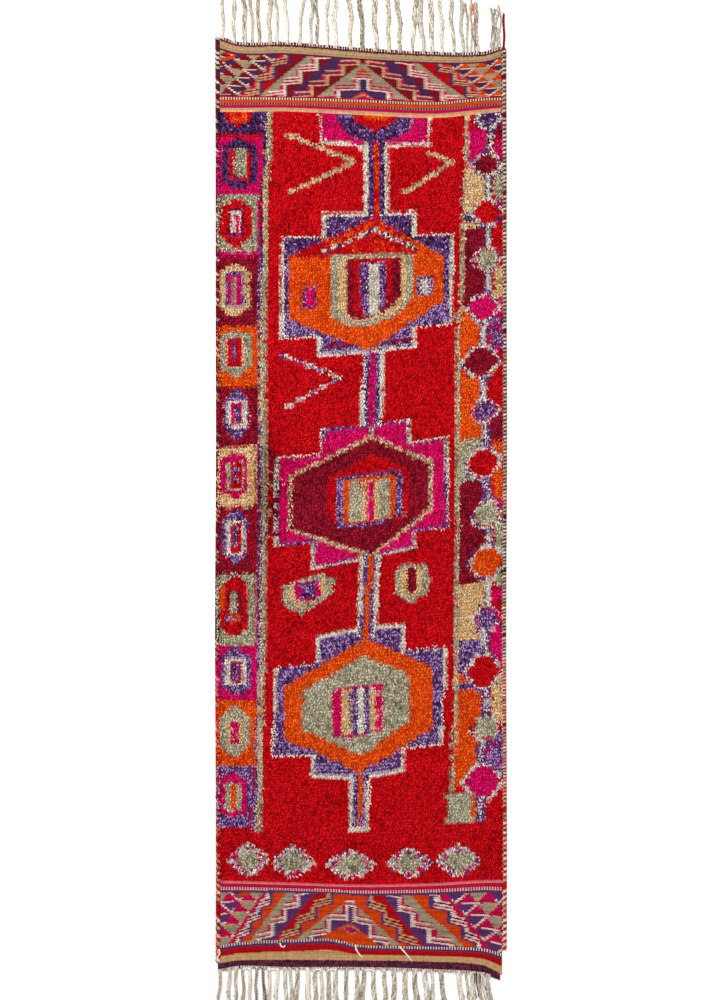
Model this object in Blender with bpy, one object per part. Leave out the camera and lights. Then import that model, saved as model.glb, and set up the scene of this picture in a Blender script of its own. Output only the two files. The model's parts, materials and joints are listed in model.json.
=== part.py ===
"""Hand-knotted wool runner lying flat: a cloth with flat-woven ends and a knotted pile field,
an overcast cord along each side, and a fringe of warp locks at each end.

X runs across the runner, Y along it with the photo's top end at +Y, and Z is up from the floor.
Every size is in millimetres until a mesh is made. The rows of the cloth bow, so each line across
it is given by its Y at seven columns, read from the photo.
"""

import math

import bmesh
import bpy
from mathutils import Vector

MM = 0.001
GAP = 0.3

FLATWOVEN_THICK = 3.6
PILE_THICK = 12.0
PILE_SLOPE = 7.0
EDGE_BEVEL = 2.0
CLOTH_HALF = 461.0
PILE_ROWS = 24
CLOTH_COLUMNS = 26

SELVEDGE_WIDTH = 15.0
SELVEDGE_THICK = 8.0
SELVEDGE_PITCH = 62.0

TWINING_WIDTH = 7.0
TWINING_THICK = 5.0
LOCK_THICK = 6.0
LOCK_TIP_THICK = 3.6
LOCK_TIP_WIDTH = 0.72
LOCK_STEPS = 6

COLUMNS = (-462.0, -396.0, -239.0, 0.0, 236.0, 396.0, 462.0)
ROW_LINES = {
    "top_end": (1520.0, 1500.0, 1500.0, 1481.0, 1468.0, 1468.0, 1486.0),
    "pile_top": (1284.0, 1284.0, 1286.0, 1274.0, 1265.0, 1278.0, 1286.0),
    "pile_bottom": (-1232.0, -1233.0, -1238.0, -1245.0, -1240.0, -1230.0, -1229.0),
    "bottom_end": (-1505.0, -1496.0, -1494.0, -1496.0, -1500.0, -1511.0, -1543.0),
    "band_end": (-1527.0, -1516.0, -1520.0, -1520.0, -1527.0, -1537.0, -1560.0),
}

# Locks of warp, from left to right: root across the runner, width at the root, drift of the tip
# to the right, length.
TOP_LOCKS = (
    (-453, 9, 4, 176),
    (-416, 12, -2, 182),
    (-380, 13, -6, 180),
    (-356, 9, -4, 172),
    (-333, 11, -6, 178),
    (-298, 13, -2, 181),
    (-274, 10, -5, 184),
    (-241, 10, -7, 179),
    (-201, 11, 15, 186),
    (-163, 8, 0, 177),
    (-144, 10, -3, 182),
    (-111, 10, 0, 180),
    (-82, 13, -4, 185),
    (-34, 13, -4, 183),
    (5, 14, -7, 178),
    (51, 13, -7, 186),
    (92, 13, -4, 181),
    (128, 13, -6, 179),
    (167, 12, 14, 187),
    (205, 12, -12, 182),
    (234, 12, -6, 176),
    (265, 11, -4, 184),
    (303, 11, -9, 180),
    (334, 9, -8, 182),
    (349, 6, -4, 171),
    (360, 6, 0, 185),
    (371, 6, 3, 168),
    (384, 6, -8, 174),
    (427, 5, 3, 146),
    (436, 5, 2, 139),
    (445, 5, 1, 148),
    (454, 5, 0, 142),
)
BOTTOM_LOCKS = (
    (-462, 9, -5, 168),
    (-430, 10, -6, 171),
    (-409, 10, -5, 176),
    (-388, 9, 2, 170),
    (-365, 9, 3, 178),
    (-342, 8, -4, 165),
    (-321, 8, 5, 174),
    (-302, 11, 3, 180),
    (-274, 11, -3, 176),
    (-249, 11, 2, 172),
    (-231, 9, 4, 181),
    (-209, 13, -4, 177),
    (-174, 13, 4, 174),
    (-151, 12, -2, 180),
    (-131, 10, 3, 173),
    (-108, 12, 10, 178),
    (-84, 13, 3, 182),
    (-48, 12, -9, 174),
    (-14, 12, -4, 179),
    (9, 13, -6, 176),
    (40, 13, 4, 183),
    (75, 13, 3, 177),
    (107, 14, 2, 180),
    (143, 15, 5, 174),
    (176, 14, 7, 181),
    (208, 15, 12, 178),
    (232, 9, 10, 168),
    (262, 14, 22, 183),
    (320, 15, 15, 179),
    (344, 8, 14, 170),
    (363, 13, 16, 176),
    (384, 10, 20, 172),
    (397, 9, 24, 178),
    (408, 5, 22, 166),
    (417, 5, 26, 160),
)

COLORS = {
    "rug_cloth": (0.56, 0.004, 0.017, 1.0),
    "selvedge_left": (0.19, 0.012, 0.03, 1.0),
    "selvedge_right": (0.19, 0.012, 0.03, 1.0),
    "fringe_top": (0.62, 0.52, 0.42, 1.0),
    "fringe_bottom": (0.62, 0.52, 0.42, 1.0),
}


def clear_scene():
    for obj in list(bpy.data.objects):
        bpy.data.objects.remove(obj)


def along(xs, ys, x):
    """A smooth curve through the points, straight on past its two ends."""
    last = len(xs) - 1
    slopes = []
    for i in range(last + 1):
        before = max(i - 1, 0)
        after = min(i + 1, last)
        slopes.append((ys[after] - ys[before]) / (xs[after] - xs[before]))
    if x <= xs[0]:
        return ys[0] + slopes[0] * (x - xs[0])
    if x >= xs[last]:
        return ys[last] + slopes[last] * (x - xs[last])
    i = 0
    while x > xs[i + 1]:
        i += 1
    span = xs[i + 1] - xs[i]
    t = (x - xs[i]) / span
    near = (1 + 2 * t) * (1 - t) ** 2 * ys[i] + t * (1 - t) ** 2 * span * slopes[i]
    far = t * t * (3 - 2 * t) * ys[i + 1] + t * t * (t - 1) * span * slopes[i + 1]
    return near + far


def cloth_columns():
    """Where the cloth is cut across, which its fringe strips follow."""
    return [-CLOTH_HALF + 2 * CLOTH_HALF * i / CLOTH_COLUMNS for i in range(CLOTH_COLUMNS + 1)]


def row_y(line, x):
    """The line's Y at x: its curve taken straight from one of the cloth's columns to the next."""
    pitch = 2 * CLOTH_HALF / CLOTH_COLUMNS
    left = -CLOTH_HALF + pitch * math.floor((x + CLOTH_HALF) / pitch)
    share = (x - left) / pitch
    near = along(COLUMNS, ROW_LINES[line], left)
    far = along(COLUMNS, ROW_LINES[line], left + pitch)
    return near + (far - near) * share


def side_wave(y):
    """How far both sides stray together from straight, as the hand-beaten rows leave them."""
    return 1.1 * math.sin(y / 290.0) + 0.6 * math.sin(y / 170.0 + 1.0)


def make_object(name, bm):
    bmesh.ops.recalc_face_normals(bm, faces=bm.faces)
    mesh = bpy.data.meshes.new(name)
    bm.to_mesh(mesh)
    bm.free()
    obj = bpy.data.objects.new(name, mesh)
    bpy.context.scene.collection.objects.link(obj)
    material = bpy.data.materials.new(name + "_yarn")
    material.use_nodes = True
    shader = material.node_tree.nodes["Principled BSDF"]
    shader.inputs["Base Color"].default_value = COLORS[name]
    shader.inputs["Roughness"].default_value = 0.9
    mesh.materials.append(material)
    return obj


def cloth_rows():
    """Each row as (line, next line, share of the way, shift along Y, height of the top face)."""
    rows = [
        ("top_end", "top_end", 0.0, 0.0, FLATWOVEN_THICK - 1.2),
        ("top_end", "top_end", 0.0, -3.0, FLATWOVEN_THICK),
        ("top_end", "pile_top", 0.33, 0.0, FLATWOVEN_THICK),
        ("top_end", "pile_top", 0.67, 0.0, FLATWOVEN_THICK),
        ("pile_top", "pile_top", 0.0, 1.0, FLATWOVEN_THICK),
        ("pile_top", "pile_top", 0.0, -0.4 * PILE_SLOPE, PILE_THICK - 3.0),
        ("pile_top", "pile_top", 0.0, -PILE_SLOPE, PILE_THICK),
    ]
    for i in range(1, PILE_ROWS):
        rows.append(("pile_top", "pile_bottom", i / PILE_ROWS, 0.0, PILE_THICK))
    rows += [
        ("pile_bottom", "pile_bottom", 0.0, PILE_SLOPE, PILE_THICK),
        ("pile_bottom", "pile_bottom", 0.0, 0.4 * PILE_SLOPE, PILE_THICK - 3.0),
        ("pile_bottom", "pile_bottom", 0.0, -1.0, FLATWOVEN_THICK),
        ("pile_bottom", "bottom_end", 0.33, 0.0, FLATWOVEN_THICK),
        ("pile_bottom", "bottom_end", 0.67, 0.0, FLATWOVEN_THICK),
        ("bottom_end", "bottom_end", 0.0, 3.0, FLATWOVEN_THICK),
        ("bottom_end", "bottom_end", 0.0, 0.0, FLATWOVEN_THICK - 1.2),
    ]
    return rows


def make_cloth():
    bm = bmesh.new()
    columns = cloth_columns()
    across = [columns[0], columns[0] + EDGE_BEVEL] + columns[1:-1]
    across += [columns[-1] - EDGE_BEVEL, columns[-1]]
    top = []
    floor = []
    for line, after, share, shift, height in cloth_rows():
        top_row = []
        floor_row = []
        for i, x in enumerate(across):
            y = (1 - share) * row_y(line, x) + share * row_y(after, x) + shift
            at_side = i in (0, len(across) - 1)
            z = height * 0.8 if at_side else height
            place = x + side_wave(y)
            top_row.append(bm.verts.new(Vector((place, y, z)) * MM))
            floor_row.append(bm.verts.new(Vector((place, y, 0.0)) * MM))
        top.append(top_row)
        floor.append(floor_row)
    for a, b, c, d in zip(top, top[1:], floor, floor[1:]):
        for i in range(len(across) - 1):
            bm.faces.new((a[i], a[i + 1], b[i + 1], b[i]))
            bm.faces.new((c[i], d[i], d[i + 1], c[i + 1]))
        bm.faces.new((a[0], b[0], d[0], c[0]))
        bm.faces.new((a[-1], c[-1], d[-1], b[-1]))
    for i in range(len(across) - 1):
        bm.faces.new((top[0][i], floor[0][i], floor[0][i + 1], top[0][i + 1]))
        bm.faces.new((top[-1][i], top[-1][i + 1], floor[-1][i + 1], floor[-1][i]))
    make_object("rug_cloth", bm)


def bridge(bm, rings):
    """Walls between the rings and a cap at each end."""
    for a, b in zip(rings, rings[1:]):
        for i in range(len(a)):
            j = (i + 1) % len(a)
            bm.faces.new((a[i], a[j], b[j], b[i]))
    bm.faces.new(rings[0])
    bm.faces.new(rings[-1][::-1])


def selvedge_ring(bm, x, y, width, thick):
    """An eight-sided roll of overcast yarn, flat where it lies on the floor."""
    half = width / 2
    outline = (
        (-half, 0.25 * thick),
        (-0.74 * half, 0.0),
        (0.74 * half, 0.0),
        (half, 0.25 * thick),
        (half, 0.66 * thick),
        (0.58 * half, thick),
        (-0.58 * half, thick),
        (-half, 0.66 * thick),
    )
    return [bm.verts.new(Vector((x + dx, y, dz)) * MM) for dx, dz in outline]


def make_selvedge(name, side, top, bottom, loose_end):
    """The cord laid along one side. loose_end is the length of its unwrapped end past the top."""
    bm = bmesh.new()
    middle = side * (CLOTH_HALF + GAP + SELVEDGE_WIDTH / 2)
    rings = []
    if loose_end:
        for share in (1.0, 0.7, 0.4, 0.1):
            y = top + share * loose_end
            x = middle + side * 1.5 * share - 3.0 * side * share * (1 - share)
            rings.append(selvedge_ring(bm, x + side_wave(top), y, 7.5, 5.0))
    steps = round((top - bottom) / SELVEDGE_PITCH)
    for i in range(steps + 1):
        y = top + (bottom - top) * i / steps
        plump = 1.0 + 0.04 * math.sin(i * 2.1)
        width = SELVEDGE_WIDTH if 0 < i < steps else SELVEDGE_WIDTH * 0.86
        rings.append(
            selvedge_ring(bm, middle + side_wave(y), y, width, SELVEDGE_THICK * plump)
        )
    bridge(bm, rings)
    make_object(name, bm)


def lock_ring(bm, x, y, heading, width, thick):
    """Four corners across a lock that heads this way, level on the floor and narrower on top."""
    across = Vector((heading.y, -heading.x, 0.0))
    ring = []
    for side, z in ((-1.0, 0.0), (-0.7, thick), (0.7, thick), (1.0, 0.0)):
        ring.append(bm.verts.new((Vector((x, y, z)) + across * side * width / 2) * MM))
    return ring


def strip_cuts(locks, left, right):
    """Where a fringe strip is cut across, and which cut starts each lock: both sides of every
    lock, and the cloth's own columns where no lock stands."""
    cuts = [left]
    starts = []
    ends = [(root - width / 2, root + width / 2) for root, width, drift, length in locks]
    for begin, end in ends + [(right, None)]:
        cuts += [x for x in cloth_columns() if cuts[-1] + 1 < x < begin - 1]
        if end is not None:
            starts.append(len(cuts))
            cuts.append(begin)
            cuts.append(end)
    cuts.append(right)
    return cuts, starts


def make_fringe(name, locks, cloth_line, inner, outer, forward, left, right):
    """A twined strip between the lines inner(x) and outer(x) with a lock grown out of its wall at
    each root. forward is +1 for locks that run to +Y, -1 for the other end."""
    bm = bmesh.new()
    cuts, starts = strip_cuts(locks, left, right)
    strip = []
    for x in cuts:
        near = inner(x)
        far = outer(x)
        place = x + side_wave(row_y(cloth_line, x))
        outline = (
            (near, 0.0),
            (near, 0.7 * TWINING_THICK),
            ((near + far) / 2, TWINING_THICK),
            (far, 0.7 * TWINING_THICK),
            (far, 0.0),
        )
        strip.append([bm.verts.new(Vector((place, y, z)) * MM) for y, z in outline])
    for k, (a, b) in enumerate(zip(strip, strip[1:])):
        for i in range(5):
            j = (i + 1) % 5
            is_root = i == 3 and k in starts
            if not is_root:
                bm.faces.new((a[i], a[j], b[j], b[i]))
    bm.faces.new(strip[0])
    bm.faces.new(strip[-1][::-1])
    for k, (start, (root, width, drift, length)) in enumerate(zip(starts, locks)):
        a = strip[start]
        b = strip[start + 1]
        ring = [a[4], a[3], b[3], b[4]]
        middle = root + side_wave(row_y(cloth_line, root))
        for step in range(1, LOCK_STEPS + 1):
            t = step / LOCK_STEPS
            sway = 2.2 * math.sin(2.5 * math.pi * t + 1.7 * k)
            x = middle + drift * t * t * (3 - 2 * t) + sway * min(1.0, 2 * t)
            y = outer(root) + forward * length * t
            slope = drift * 6 * t * (1 - t) / length
            heading = Vector((slope, forward, 0.0)).normalized()
            wide = width * (1 + (LOCK_TIP_WIDTH - 1) * t)
            thick = LOCK_THICK + (LOCK_TIP_THICK - LOCK_THICK) * t
            after = lock_ring(bm, x, y, heading * forward, wide, thick)
            for i in range(4):
                j = (i + 1) % 4
                bm.faces.new((ring[i], ring[j], after[j], after[i]))
            ring = after
        bm.faces.new(ring)
    make_object(name, bm)


def top_inner(x):
    return row_y("top_end", x) + GAP


def top_outer(x):
    return row_y("top_end", x) + GAP + TWINING_WIDTH


def bottom_inner(x):
    return row_y("bottom_end", x) - GAP


def bottom_outer(x):
    return row_y("band_end", x)


def settle():
    """Puts the middle of the runner's box over the origin, with the floor at zero."""
    low = [math.inf, math.inf]
    high = [-math.inf, -math.inf]
    meshes = [obj.data for obj in bpy.data.objects]
    for mesh in meshes:
        for vertex in mesh.vertices:
            for axis in range(2):
                low[axis] = min(low[axis], vertex.co[axis])
                high[axis] = max(high[axis], vertex.co[axis])
    shift = Vector(((low[0] + high[0]) / 2, (low[1] + high[1]) / 2, 0.0))
    for mesh in meshes:
        for vertex in mesh.vertices:
            vertex.co -= shift


clear_scene()
make_cloth()
make_selvedge("selvedge_left", -1, 1530.0, -1504.0, 0.0)
make_selvedge("selvedge_right", 1, 1490.0, -1462.0, 118.0)
make_fringe("fringe_top", TOP_LOCKS, "top_end", top_inner, top_outer, 1, -461.0, 461.0)
make_fringe(
    "fringe_bottom", BOTTOM_LOCKS, "bottom_end", bottom_inner, bottom_outer, -1, -470.0, 456.0
)
settle()
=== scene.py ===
"""Looks of the hand-knotted wool runner: knotted pile, flat-woven ends, overcast sides, twined ends
and warp fringe.

Places on the cloth are given two ways. Across, by the photo's pixels. Along, by chart row: the
weaver's rows bow on the real cloth, and LIE says where each row of the chart lies. A chart row is
named after the pixel row where it crosses the runner's middle.
"""

import json
import math
from collections import namedtuple

import bmesh
import bpy
import numpy as np
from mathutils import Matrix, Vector

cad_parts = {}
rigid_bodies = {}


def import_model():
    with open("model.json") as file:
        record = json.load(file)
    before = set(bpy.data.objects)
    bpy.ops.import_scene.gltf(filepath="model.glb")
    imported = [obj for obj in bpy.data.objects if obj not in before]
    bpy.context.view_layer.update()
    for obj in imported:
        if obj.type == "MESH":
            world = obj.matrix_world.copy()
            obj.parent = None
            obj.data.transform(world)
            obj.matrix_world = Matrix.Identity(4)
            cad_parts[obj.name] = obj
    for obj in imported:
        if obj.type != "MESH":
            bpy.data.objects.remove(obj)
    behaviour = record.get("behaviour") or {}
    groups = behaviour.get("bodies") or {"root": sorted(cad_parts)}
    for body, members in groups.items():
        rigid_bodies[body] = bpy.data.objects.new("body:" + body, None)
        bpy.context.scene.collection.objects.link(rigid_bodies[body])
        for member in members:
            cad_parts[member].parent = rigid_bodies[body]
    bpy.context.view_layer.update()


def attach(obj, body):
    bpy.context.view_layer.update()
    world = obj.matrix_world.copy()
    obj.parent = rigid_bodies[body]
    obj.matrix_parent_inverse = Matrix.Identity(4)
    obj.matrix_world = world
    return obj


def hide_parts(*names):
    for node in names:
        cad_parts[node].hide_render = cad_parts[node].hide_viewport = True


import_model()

# Sizes are in millimetres, and MM turns them into metres.
MM = 0.001
# The photo's scale, the pixel at the runner's middle, and the photo's height in pixels.
PIXEL_MM = 3.276
MID_X, MID_Y = 361.0, 504.0
PHOTO_HEIGHT = 1000
# Half the cloth's width, its ground below the pile, its flat-woven ends and its edge cords.
CLOTH_HALF = 461.0
GROUND_THICK = 3.6
FLAT_THICK = 1.6
SELVEDGE_WIDTH = 15.0
SELVEDGE_THICK = 8.0
# How far the pile reaches past the cloth's edge. At the left it hangs over the overcast cord.
LEFT_OVERHANG, RIGHT_OVERHANG = 10.5, 4.0
KNOT_COLUMNS, KNOT_ROWS = 106, 280
# Where a knot's two cut ends stand, as a share of the space from knot to knot.
KNOT_ENDS = (-0.25, 0.25)
TUFT_TRIANGLES, PIECE_TRIANGLES = 10, 190000
# From warp to warp in the flat-woven ends.
WARP_MM = 4.4
WARP_PIXELS = WARP_MM / PIXEL_MM
# First and last chart rows of the pile and of the whole cloth.
PILE_TOP, PILE_BOTTOM = 111.5, 882.0
CLOTH_TOP, CLOTH_BOTTOM = 46.1, 960.0

# Chart row, then the pixel row where it lies at 220, 240, 288, 361, 433, 482 and 502 px across.
# LIE_COLUMNS are the same seven places in millimetres from the middle.
LIE_COLUMNS = (-462.0, -396.0, -239.0, 0.0, 236.0, 396.0, 462.0)
LIE = (
    (46.1, 40.0, 46.1, 46.1, 51.9, 55.9, 55.9, 50.4),
    (99.0, 98.5, 98.5, 99.0, 101.0, 103.5, 99.5, 99.0),
    (111.5, 112.0, 112.0, 111.5, 115.1, 117.9, 113.9, 111.5),
    (160.0, 160.0, 160.0, 160.0, 161.0, 161.0, 159.0, 158.0),
    (213.0, 213.0, 213.0, 213.0, 213.5, 210.5, 208.0, 207.0),
    (236.0, 236.0, 236.0, 236.0, 236.0, 234.0, 232.0, 231.0),
    (338.0, 339.0, 339.0, 338.0, 333.0, 325.0, 320.0, 318.0),
    (430.5, 435.0, 434.0, 430.5, 424.5, 415.0, 409.0, 407.0),
    (456.0, 461.0, 459.0, 456.0, 449.0, 438.0, 431.0, 428.0),
    (546.0, 547.0, 547.0, 546.0, 537.0, 530.0, 523.0, 521.0),
    (573.0, 574.0, 574.0, 573.0, 560.0, 544.0, 536.0, 533.0),
    (642.0, 643.0, 643.0, 642.0, 628.0, 622.0, 617.0, 615.0),
    (665.0, 664.0, 665.0, 665.0, 653.0, 646.6, 643.0, 641.0),
    (756.0, 756.0, 756.0, 756.0, 753.0, 745.5, 741.0, 739.0),
    (775.0, 774.0, 775.0, 775.0, 777.0, 765.0, 762.0, 761.0),
    (835.0, 834.0, 834.0, 835.0, 835.0, 834.0, 832.0, 831.0),
    (882.0, 880.1, 880.4, 881.9, 884.0, 882.5, 879.5, 879.2),
    (943.0, 945.5, 944.0, 943.0, 946.0, 947.5, 949.0, 954.0),
    (960.0, 963.4, 960.6, 960.0, 960.6, 961.9, 965.2, 975.0),
)

RED, BURGUNDY, MAGENTA, ORANGE, VIOLET, SAGE, TAN, IVORY = range(8)
YARN_NAMES = ("red", "burgundy", "magenta", "orange", "violet", "sage", "tan", "ivory")
# Each dyed yarn: its usual colour, its darkest and its palest strands, as sRGB hex.
YARN_HEX = (
    ("D0000E", "82000A", "EE1622"),
    ("8E0C24", "4C0412", "BC1C38"),
    ("DE005A", "98003A", "F61C84"),
    ("F04A02", "C22E02", "FF7A26"),
    ("683A7C", "1A0C2A", "BE9ED2"),
    ("B2A88C", "6C604C", "DED6BC"),
    ("E2B680", "AE7A48", "F8DAAE"),
    ("DED2C2", "B4A48E", "F8F2E6"),
)
AUBERGINE_HEX = "4A1830"
FLOOR_HEX = "F4F1EC"


def linear(hex_color):
    """An sRGB hex colour as linear red, green, blue and alpha."""
    shades = []
    for i in (0, 2, 4):
        c = int(hex_color[i : i + 2], 16) / 255
        shades.append(c / 12.92 if c <= 0.04045 else ((c + 0.055) / 1.055) ** 2.4)
    return (*shades, 1.0)


YARN_LINEAR = np.array([linear(row[0]) for row in YARN_HEX] + [linear(AUBERGINE_HEX)])
AUBERGINE = len(YARN_HEX)


# Where the cloth lies.


def along(xs, ys, x):
    """The same smooth curve through the points as the CAD's rows follow, for an array x."""
    xs = np.asarray(xs, float)
    ys = np.asarray(ys, float)
    last = len(xs) - 1
    before = np.maximum(np.arange(last + 1) - 1, 0)
    after = np.minimum(np.arange(last + 1) + 1, last)
    slopes = (ys[after] - ys[before]) / (xs[after] - xs[before])
    i = np.clip(np.searchsorted(xs, x) - 1, 0, last - 1)
    span = xs[i + 1] - xs[i]
    t = np.clip((x - xs[i]) / span, 0.0, 1.0)
    near = (1 + 2 * t) * (1 - t) ** 2 * ys[i] + t * (1 - t) ** 2 * span * slopes[i]
    far = t * t * (3 - 2 * t) * ys[i + 1] + t * t * (t - 1) * span * slopes[i + 1]
    beyond = x - np.clip(x, xs[0], xs[last])
    return near + far + beyond * np.where(x < xs[0], slopes[0], slopes[last])


def side_wave(y):
    """How far both sides swing to the right at this height along the runner."""
    return 1.1 * np.sin(y / 290.0) + 0.6 * np.sin(y / 170.0 + 1.0)


def lie(x_mm, rows):
    """Y in millimetres of every chart row at every x: an array of rows by columns."""
    x_mm = np.asarray(x_mm, float)
    pixel_rows = np.array([along(LIE_COLUMNS, line[1:], x_mm) for line in LIE])
    chart = np.array([line[0] for line in LIE])
    spread = [np.interp(rows, chart, pixel_rows[:, i]) for i in range(len(x_mm))]
    return (MID_Y - np.array(spread).T) * PIXEL_MM


def chart_row(pixel_x, pixel_y):
    """The chart row that lies at this place of the photo."""
    x_mm = np.array([(pixel_x - MID_X) * PIXEL_MM])
    pixel_rows = [float(along(LIE_COLUMNS, line[1:], x_mm)[0]) for line in LIE]
    return float(np.interp(pixel_y, pixel_rows, [line[0] for line in LIE]))


# The weaver's chart.


class Chart:
    """The yarn of each knot or weft pass. x is across, down is where it lies in the photo, both in
    pixels, and row is its chart row. stray is how far the weaver wanders from the line, in pixels,
    and comb how far the rows step aside in turn, as interlocked wefts do. every_third picks knots
    for a dotted line."""

    def __init__(self, across, rows, ground, stray=0.0, comb=0.0):
        self.across, self.row = np.meshgrid(across, rows)
        self.down = MID_Y - lie((across - MID_X) * PIXEL_MM, rows) / PIXEL_MM
        self.random = np.random.default_rng(3)
        aside, below = self.random.normal(0.0, 1.0, (2, *self.row.shape)) * stray
        self.x = self.across + aside + comb * np.sin(np.arange(len(rows)) * math.tau / 3)[:, None]
        self.row = self.row + below
        self.down = self.down + below
        self.yarn = np.full(self.x.shape, ground, int)
        self.every_third = (np.arange(len(across)) + np.arange(len(rows))[:, None]) % 3 == 0

    def fill(self, mask, yarn):
        self.yarn[mask] = yarn

    def fill_shapes(self, layers):
        """Shapes laid over each other in turn: the outline's points and the yarn of each."""
        for points, yarn in layers:
            self.fill(self.shape(points), yarn)

    def speckle(self, mask, yarn, share):
        self.yarn[mask & (self.random.random(self.x.shape) < share)] = yarn

    def box(self, left, right, top, bottom):
        """Between two places of the photo across, and along the rows that lie halfway between them."""
        middle = (left + right) / 2
        rows = (self.row >= chart_row(middle, top)) & (self.row < chart_row(middle, bottom))
        return rows & (self.x >= left) & (self.x < right)

    def shape(self, points):
        """Inside the outline through these places of the photo."""
        inside = np.zeros(self.x.shape, bool)
        for (ax, ay), (bx, by) in zip(points, points[1:] + points[:1]):
            if ay == by:
                continue
            crossed = (self.down < ay) != (self.down < by)
            inside ^= crossed & (self.x < ax + (self.down - ay) / (by - ay) * (bx - ax))
        return inside

    def stroke(self, points, width):
        """A line of knots through these places of the photo."""
        near = np.full(self.x.shape, np.inf)
        for (ax, ay), (bx, by) in zip(points, points[1:]):
            dx, dy = bx - ax, by - ay
            t = ((self.x - ax) * dx + (self.down - ay) * dy) / (dx * dx + dy * dy)
            t = np.clip(t, 0, 1)
            near = np.minimum(near, np.hypot(self.x - ax - t * dx, self.down - ay - t * dy))
        return near <= width / 2

    def strip(self, start, end, width):
        """A straight strip between two places of the photo, cut square to the rows."""
        (ax, ay), (bx, by) = start, end
        half = width / 2
        return self.shape(((ax - half, ay), (ax + half, ay), (bx + half, by), (bx - half, by)))

    def lantern(self, left, right, tip, shoulder, low_shoulder, low_tip):
        """An upright box with a blunt point above and below."""
        middle = (left + right) / 2
        rows = [chart_row(middle, y) for y in (tip, shoulder, low_shoulder, low_tip)]
        away = np.clip((np.abs(self.x - middle) - 2.5) / ((right - left) / 2 - 2.5), 0, 1)
        below_roof = self.row >= rows[0] + (rows[1] - rows[0]) * away
        above_foot = self.row < rows[3] - (rows[3] - rows[2]) * away
        return below_roof & above_foot & (self.x >= left) & (self.x < right)

    def bead(self, left, right, top, bottom):
        """A hexagon with its points at the sides."""
        middle = (left + right) / 2
        top, bottom = chart_row(middle, top), chart_row(middle, bottom)
        away = np.abs(self.row - (top + bottom) / 2) / ((bottom - top) / 2)
        half = (right - left) / 2 * (1 - 0.66 * np.maximum(away - 0.08, 0))
        return (away <= 1) & (np.abs(self.x - middle) < half)

    def steps(self, boxes, inset_x, inset_y):
        """A union of boxes in chart rows, drawn in by the insets. Each box is its left and right side at
        the top, the same at the bottom, and then its top and bottom."""
        mask = np.zeros(self.x.shape, bool)
        for left, right, low_left, low_right, top, bottom in boxes:
            rows = (self.row >= top + inset_y) & (self.row < bottom - inset_y)
            t = np.clip((self.row - top) / (bottom - top), 0, 1)
            start = left + (low_left - left) * t + inset_x
            mask |= rows & (self.x >= start) & (self.x < right + (low_right - right) * t - inset_x)
        return mask


# The borders' rows are read at the middle of these spans: at 238 and 480 pixels across.
LEFT_SPAN, RIGHT_SPAN = (0, 476), (440, 520)
# The left border's compartments, top to bottom. Each has its top and bottom, its ground, its lantern
# (left, right, tip, shoulder, lower shoulder, lower tip, yarn) and boxes (left, right, top, bottom,
# yarn) laid over it in turn. All places are pixels of the photo.
LEFT_COMPARTMENTS = (
    (112, 134, VIOLET, (225, 252, 100, 104, 118, 126, RED), ((230, 248, 111, 121, ORANGE),)),
    (134, 138, RED, (236, 243, 134, 135, 137, 138, RED), ()),
    (138, 195, MAGENTA, (222, 257, 138, 148, 181, 190, VIOLET), (
        (229, 250, 149, 180, RED), (234, 247, 149, 176, SAGE))),
    (195, 252, SAGE, (221, 251, 199, 208, 236, 247, RED), (
        (229, 243, 209, 236, VIOLET), (231, 241.5, 211, 234, IVORY), (234.5, 239, 214, 232, MAGENTA))),
    (252, 257, MAGENTA, (236, 243, 253, 254, 255, 256, MAGENTA), ()),
    (257, 326, BURGUNDY, (219, 250, 264, 272, 308, 317, TAN), (
        (225.5, 244, 272, 307, VIOLET), (228, 242, 275, 305, MAGENTA), (233, 236, 277, 303, SAGE))),
    (326, 387, ORANGE, (219, 251, 331, 335, 367, 377, SAGE), (
        (226, 244, 338, 366, TAN), (228, 242, 339, 366, RED), (233, 236.5, 340, 362, VIOLET))),
    (387, 447, BURGUNDY, (223, 249, 389, 401, 428, 440, VIOLET), (
        (227.5, 246, 401, 428, IVORY), (231, 242.5, 403, 425, MAGENTA), (234, 239.5, 405, 423, VIOLET))),
    (447, 507, TAN, (220, 248, 452, 460, 490, 499, MAGENTA), (
        (226.5, 243.5, 461, 490, SAGE), (229.5, 240.8, 463, 488, RED), (232.5, 237.5, 467, 483, VIOLET))),
    (507, 573, BURGUNDY, (222, 248, 509, 520, 552, 563, VIOLET), (
        (226.5, 244.5, 520, 555, IVORY), (229.8, 241, 523, 552, RED), (233, 238, 525, 548, VIOLET))),
    (573, 645, SAGE, (221, 249, 576, 586, 628, 636, RED), (
        (221, 225, 588, 610, ORANGE), (227, 243, 590, 614, BURGUNDY), (230, 238, 590, 612, SAGE),
        (226, 243, 615, 622, VIOLET), (230, 234, 615, 622, ORANGE), (238, 241, 615, 622, ORANGE))),
    (645, 699, MAGENTA, (222, 251, 648, 656, 688, 695, VIOLET), (
        (226.5, 246, 658, 685, IVORY), (230, 243, 661, 682, RED), (232, 239.5, 663, 681, VIOLET))),
    (699, 766, ORANGE, (220, 250, 706, 717, 746, 757, SAGE), (
        (227, 243.5, 720, 745, TAN), (232, 239, 721, 744, MAGENTA))),
    (766, 828, VIOLET, (220, 246, 773, 780, 813, 816, MAGENTA), (
        (224, 242, 783, 811, SAGE), (230.5, 235, 784, 808, ORANGE))),
)
# Left edge of the striped line beside them: row, across. Then its stripes: start, end, yarn.
LEFT_LINE = ((115, 264), (150, 263), (200, 261), (250, 259.5), (300, 258), (350, 257),
             (550, 258), (600, 258), (700, 256.7), (760, 254.6), (832, 252.4))

LEFT_LINE_STRIPES = ((0, 2.7, VIOLET), (2.7, 5.5, TAN), (5.5, 8.3, SAGE))
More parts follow.
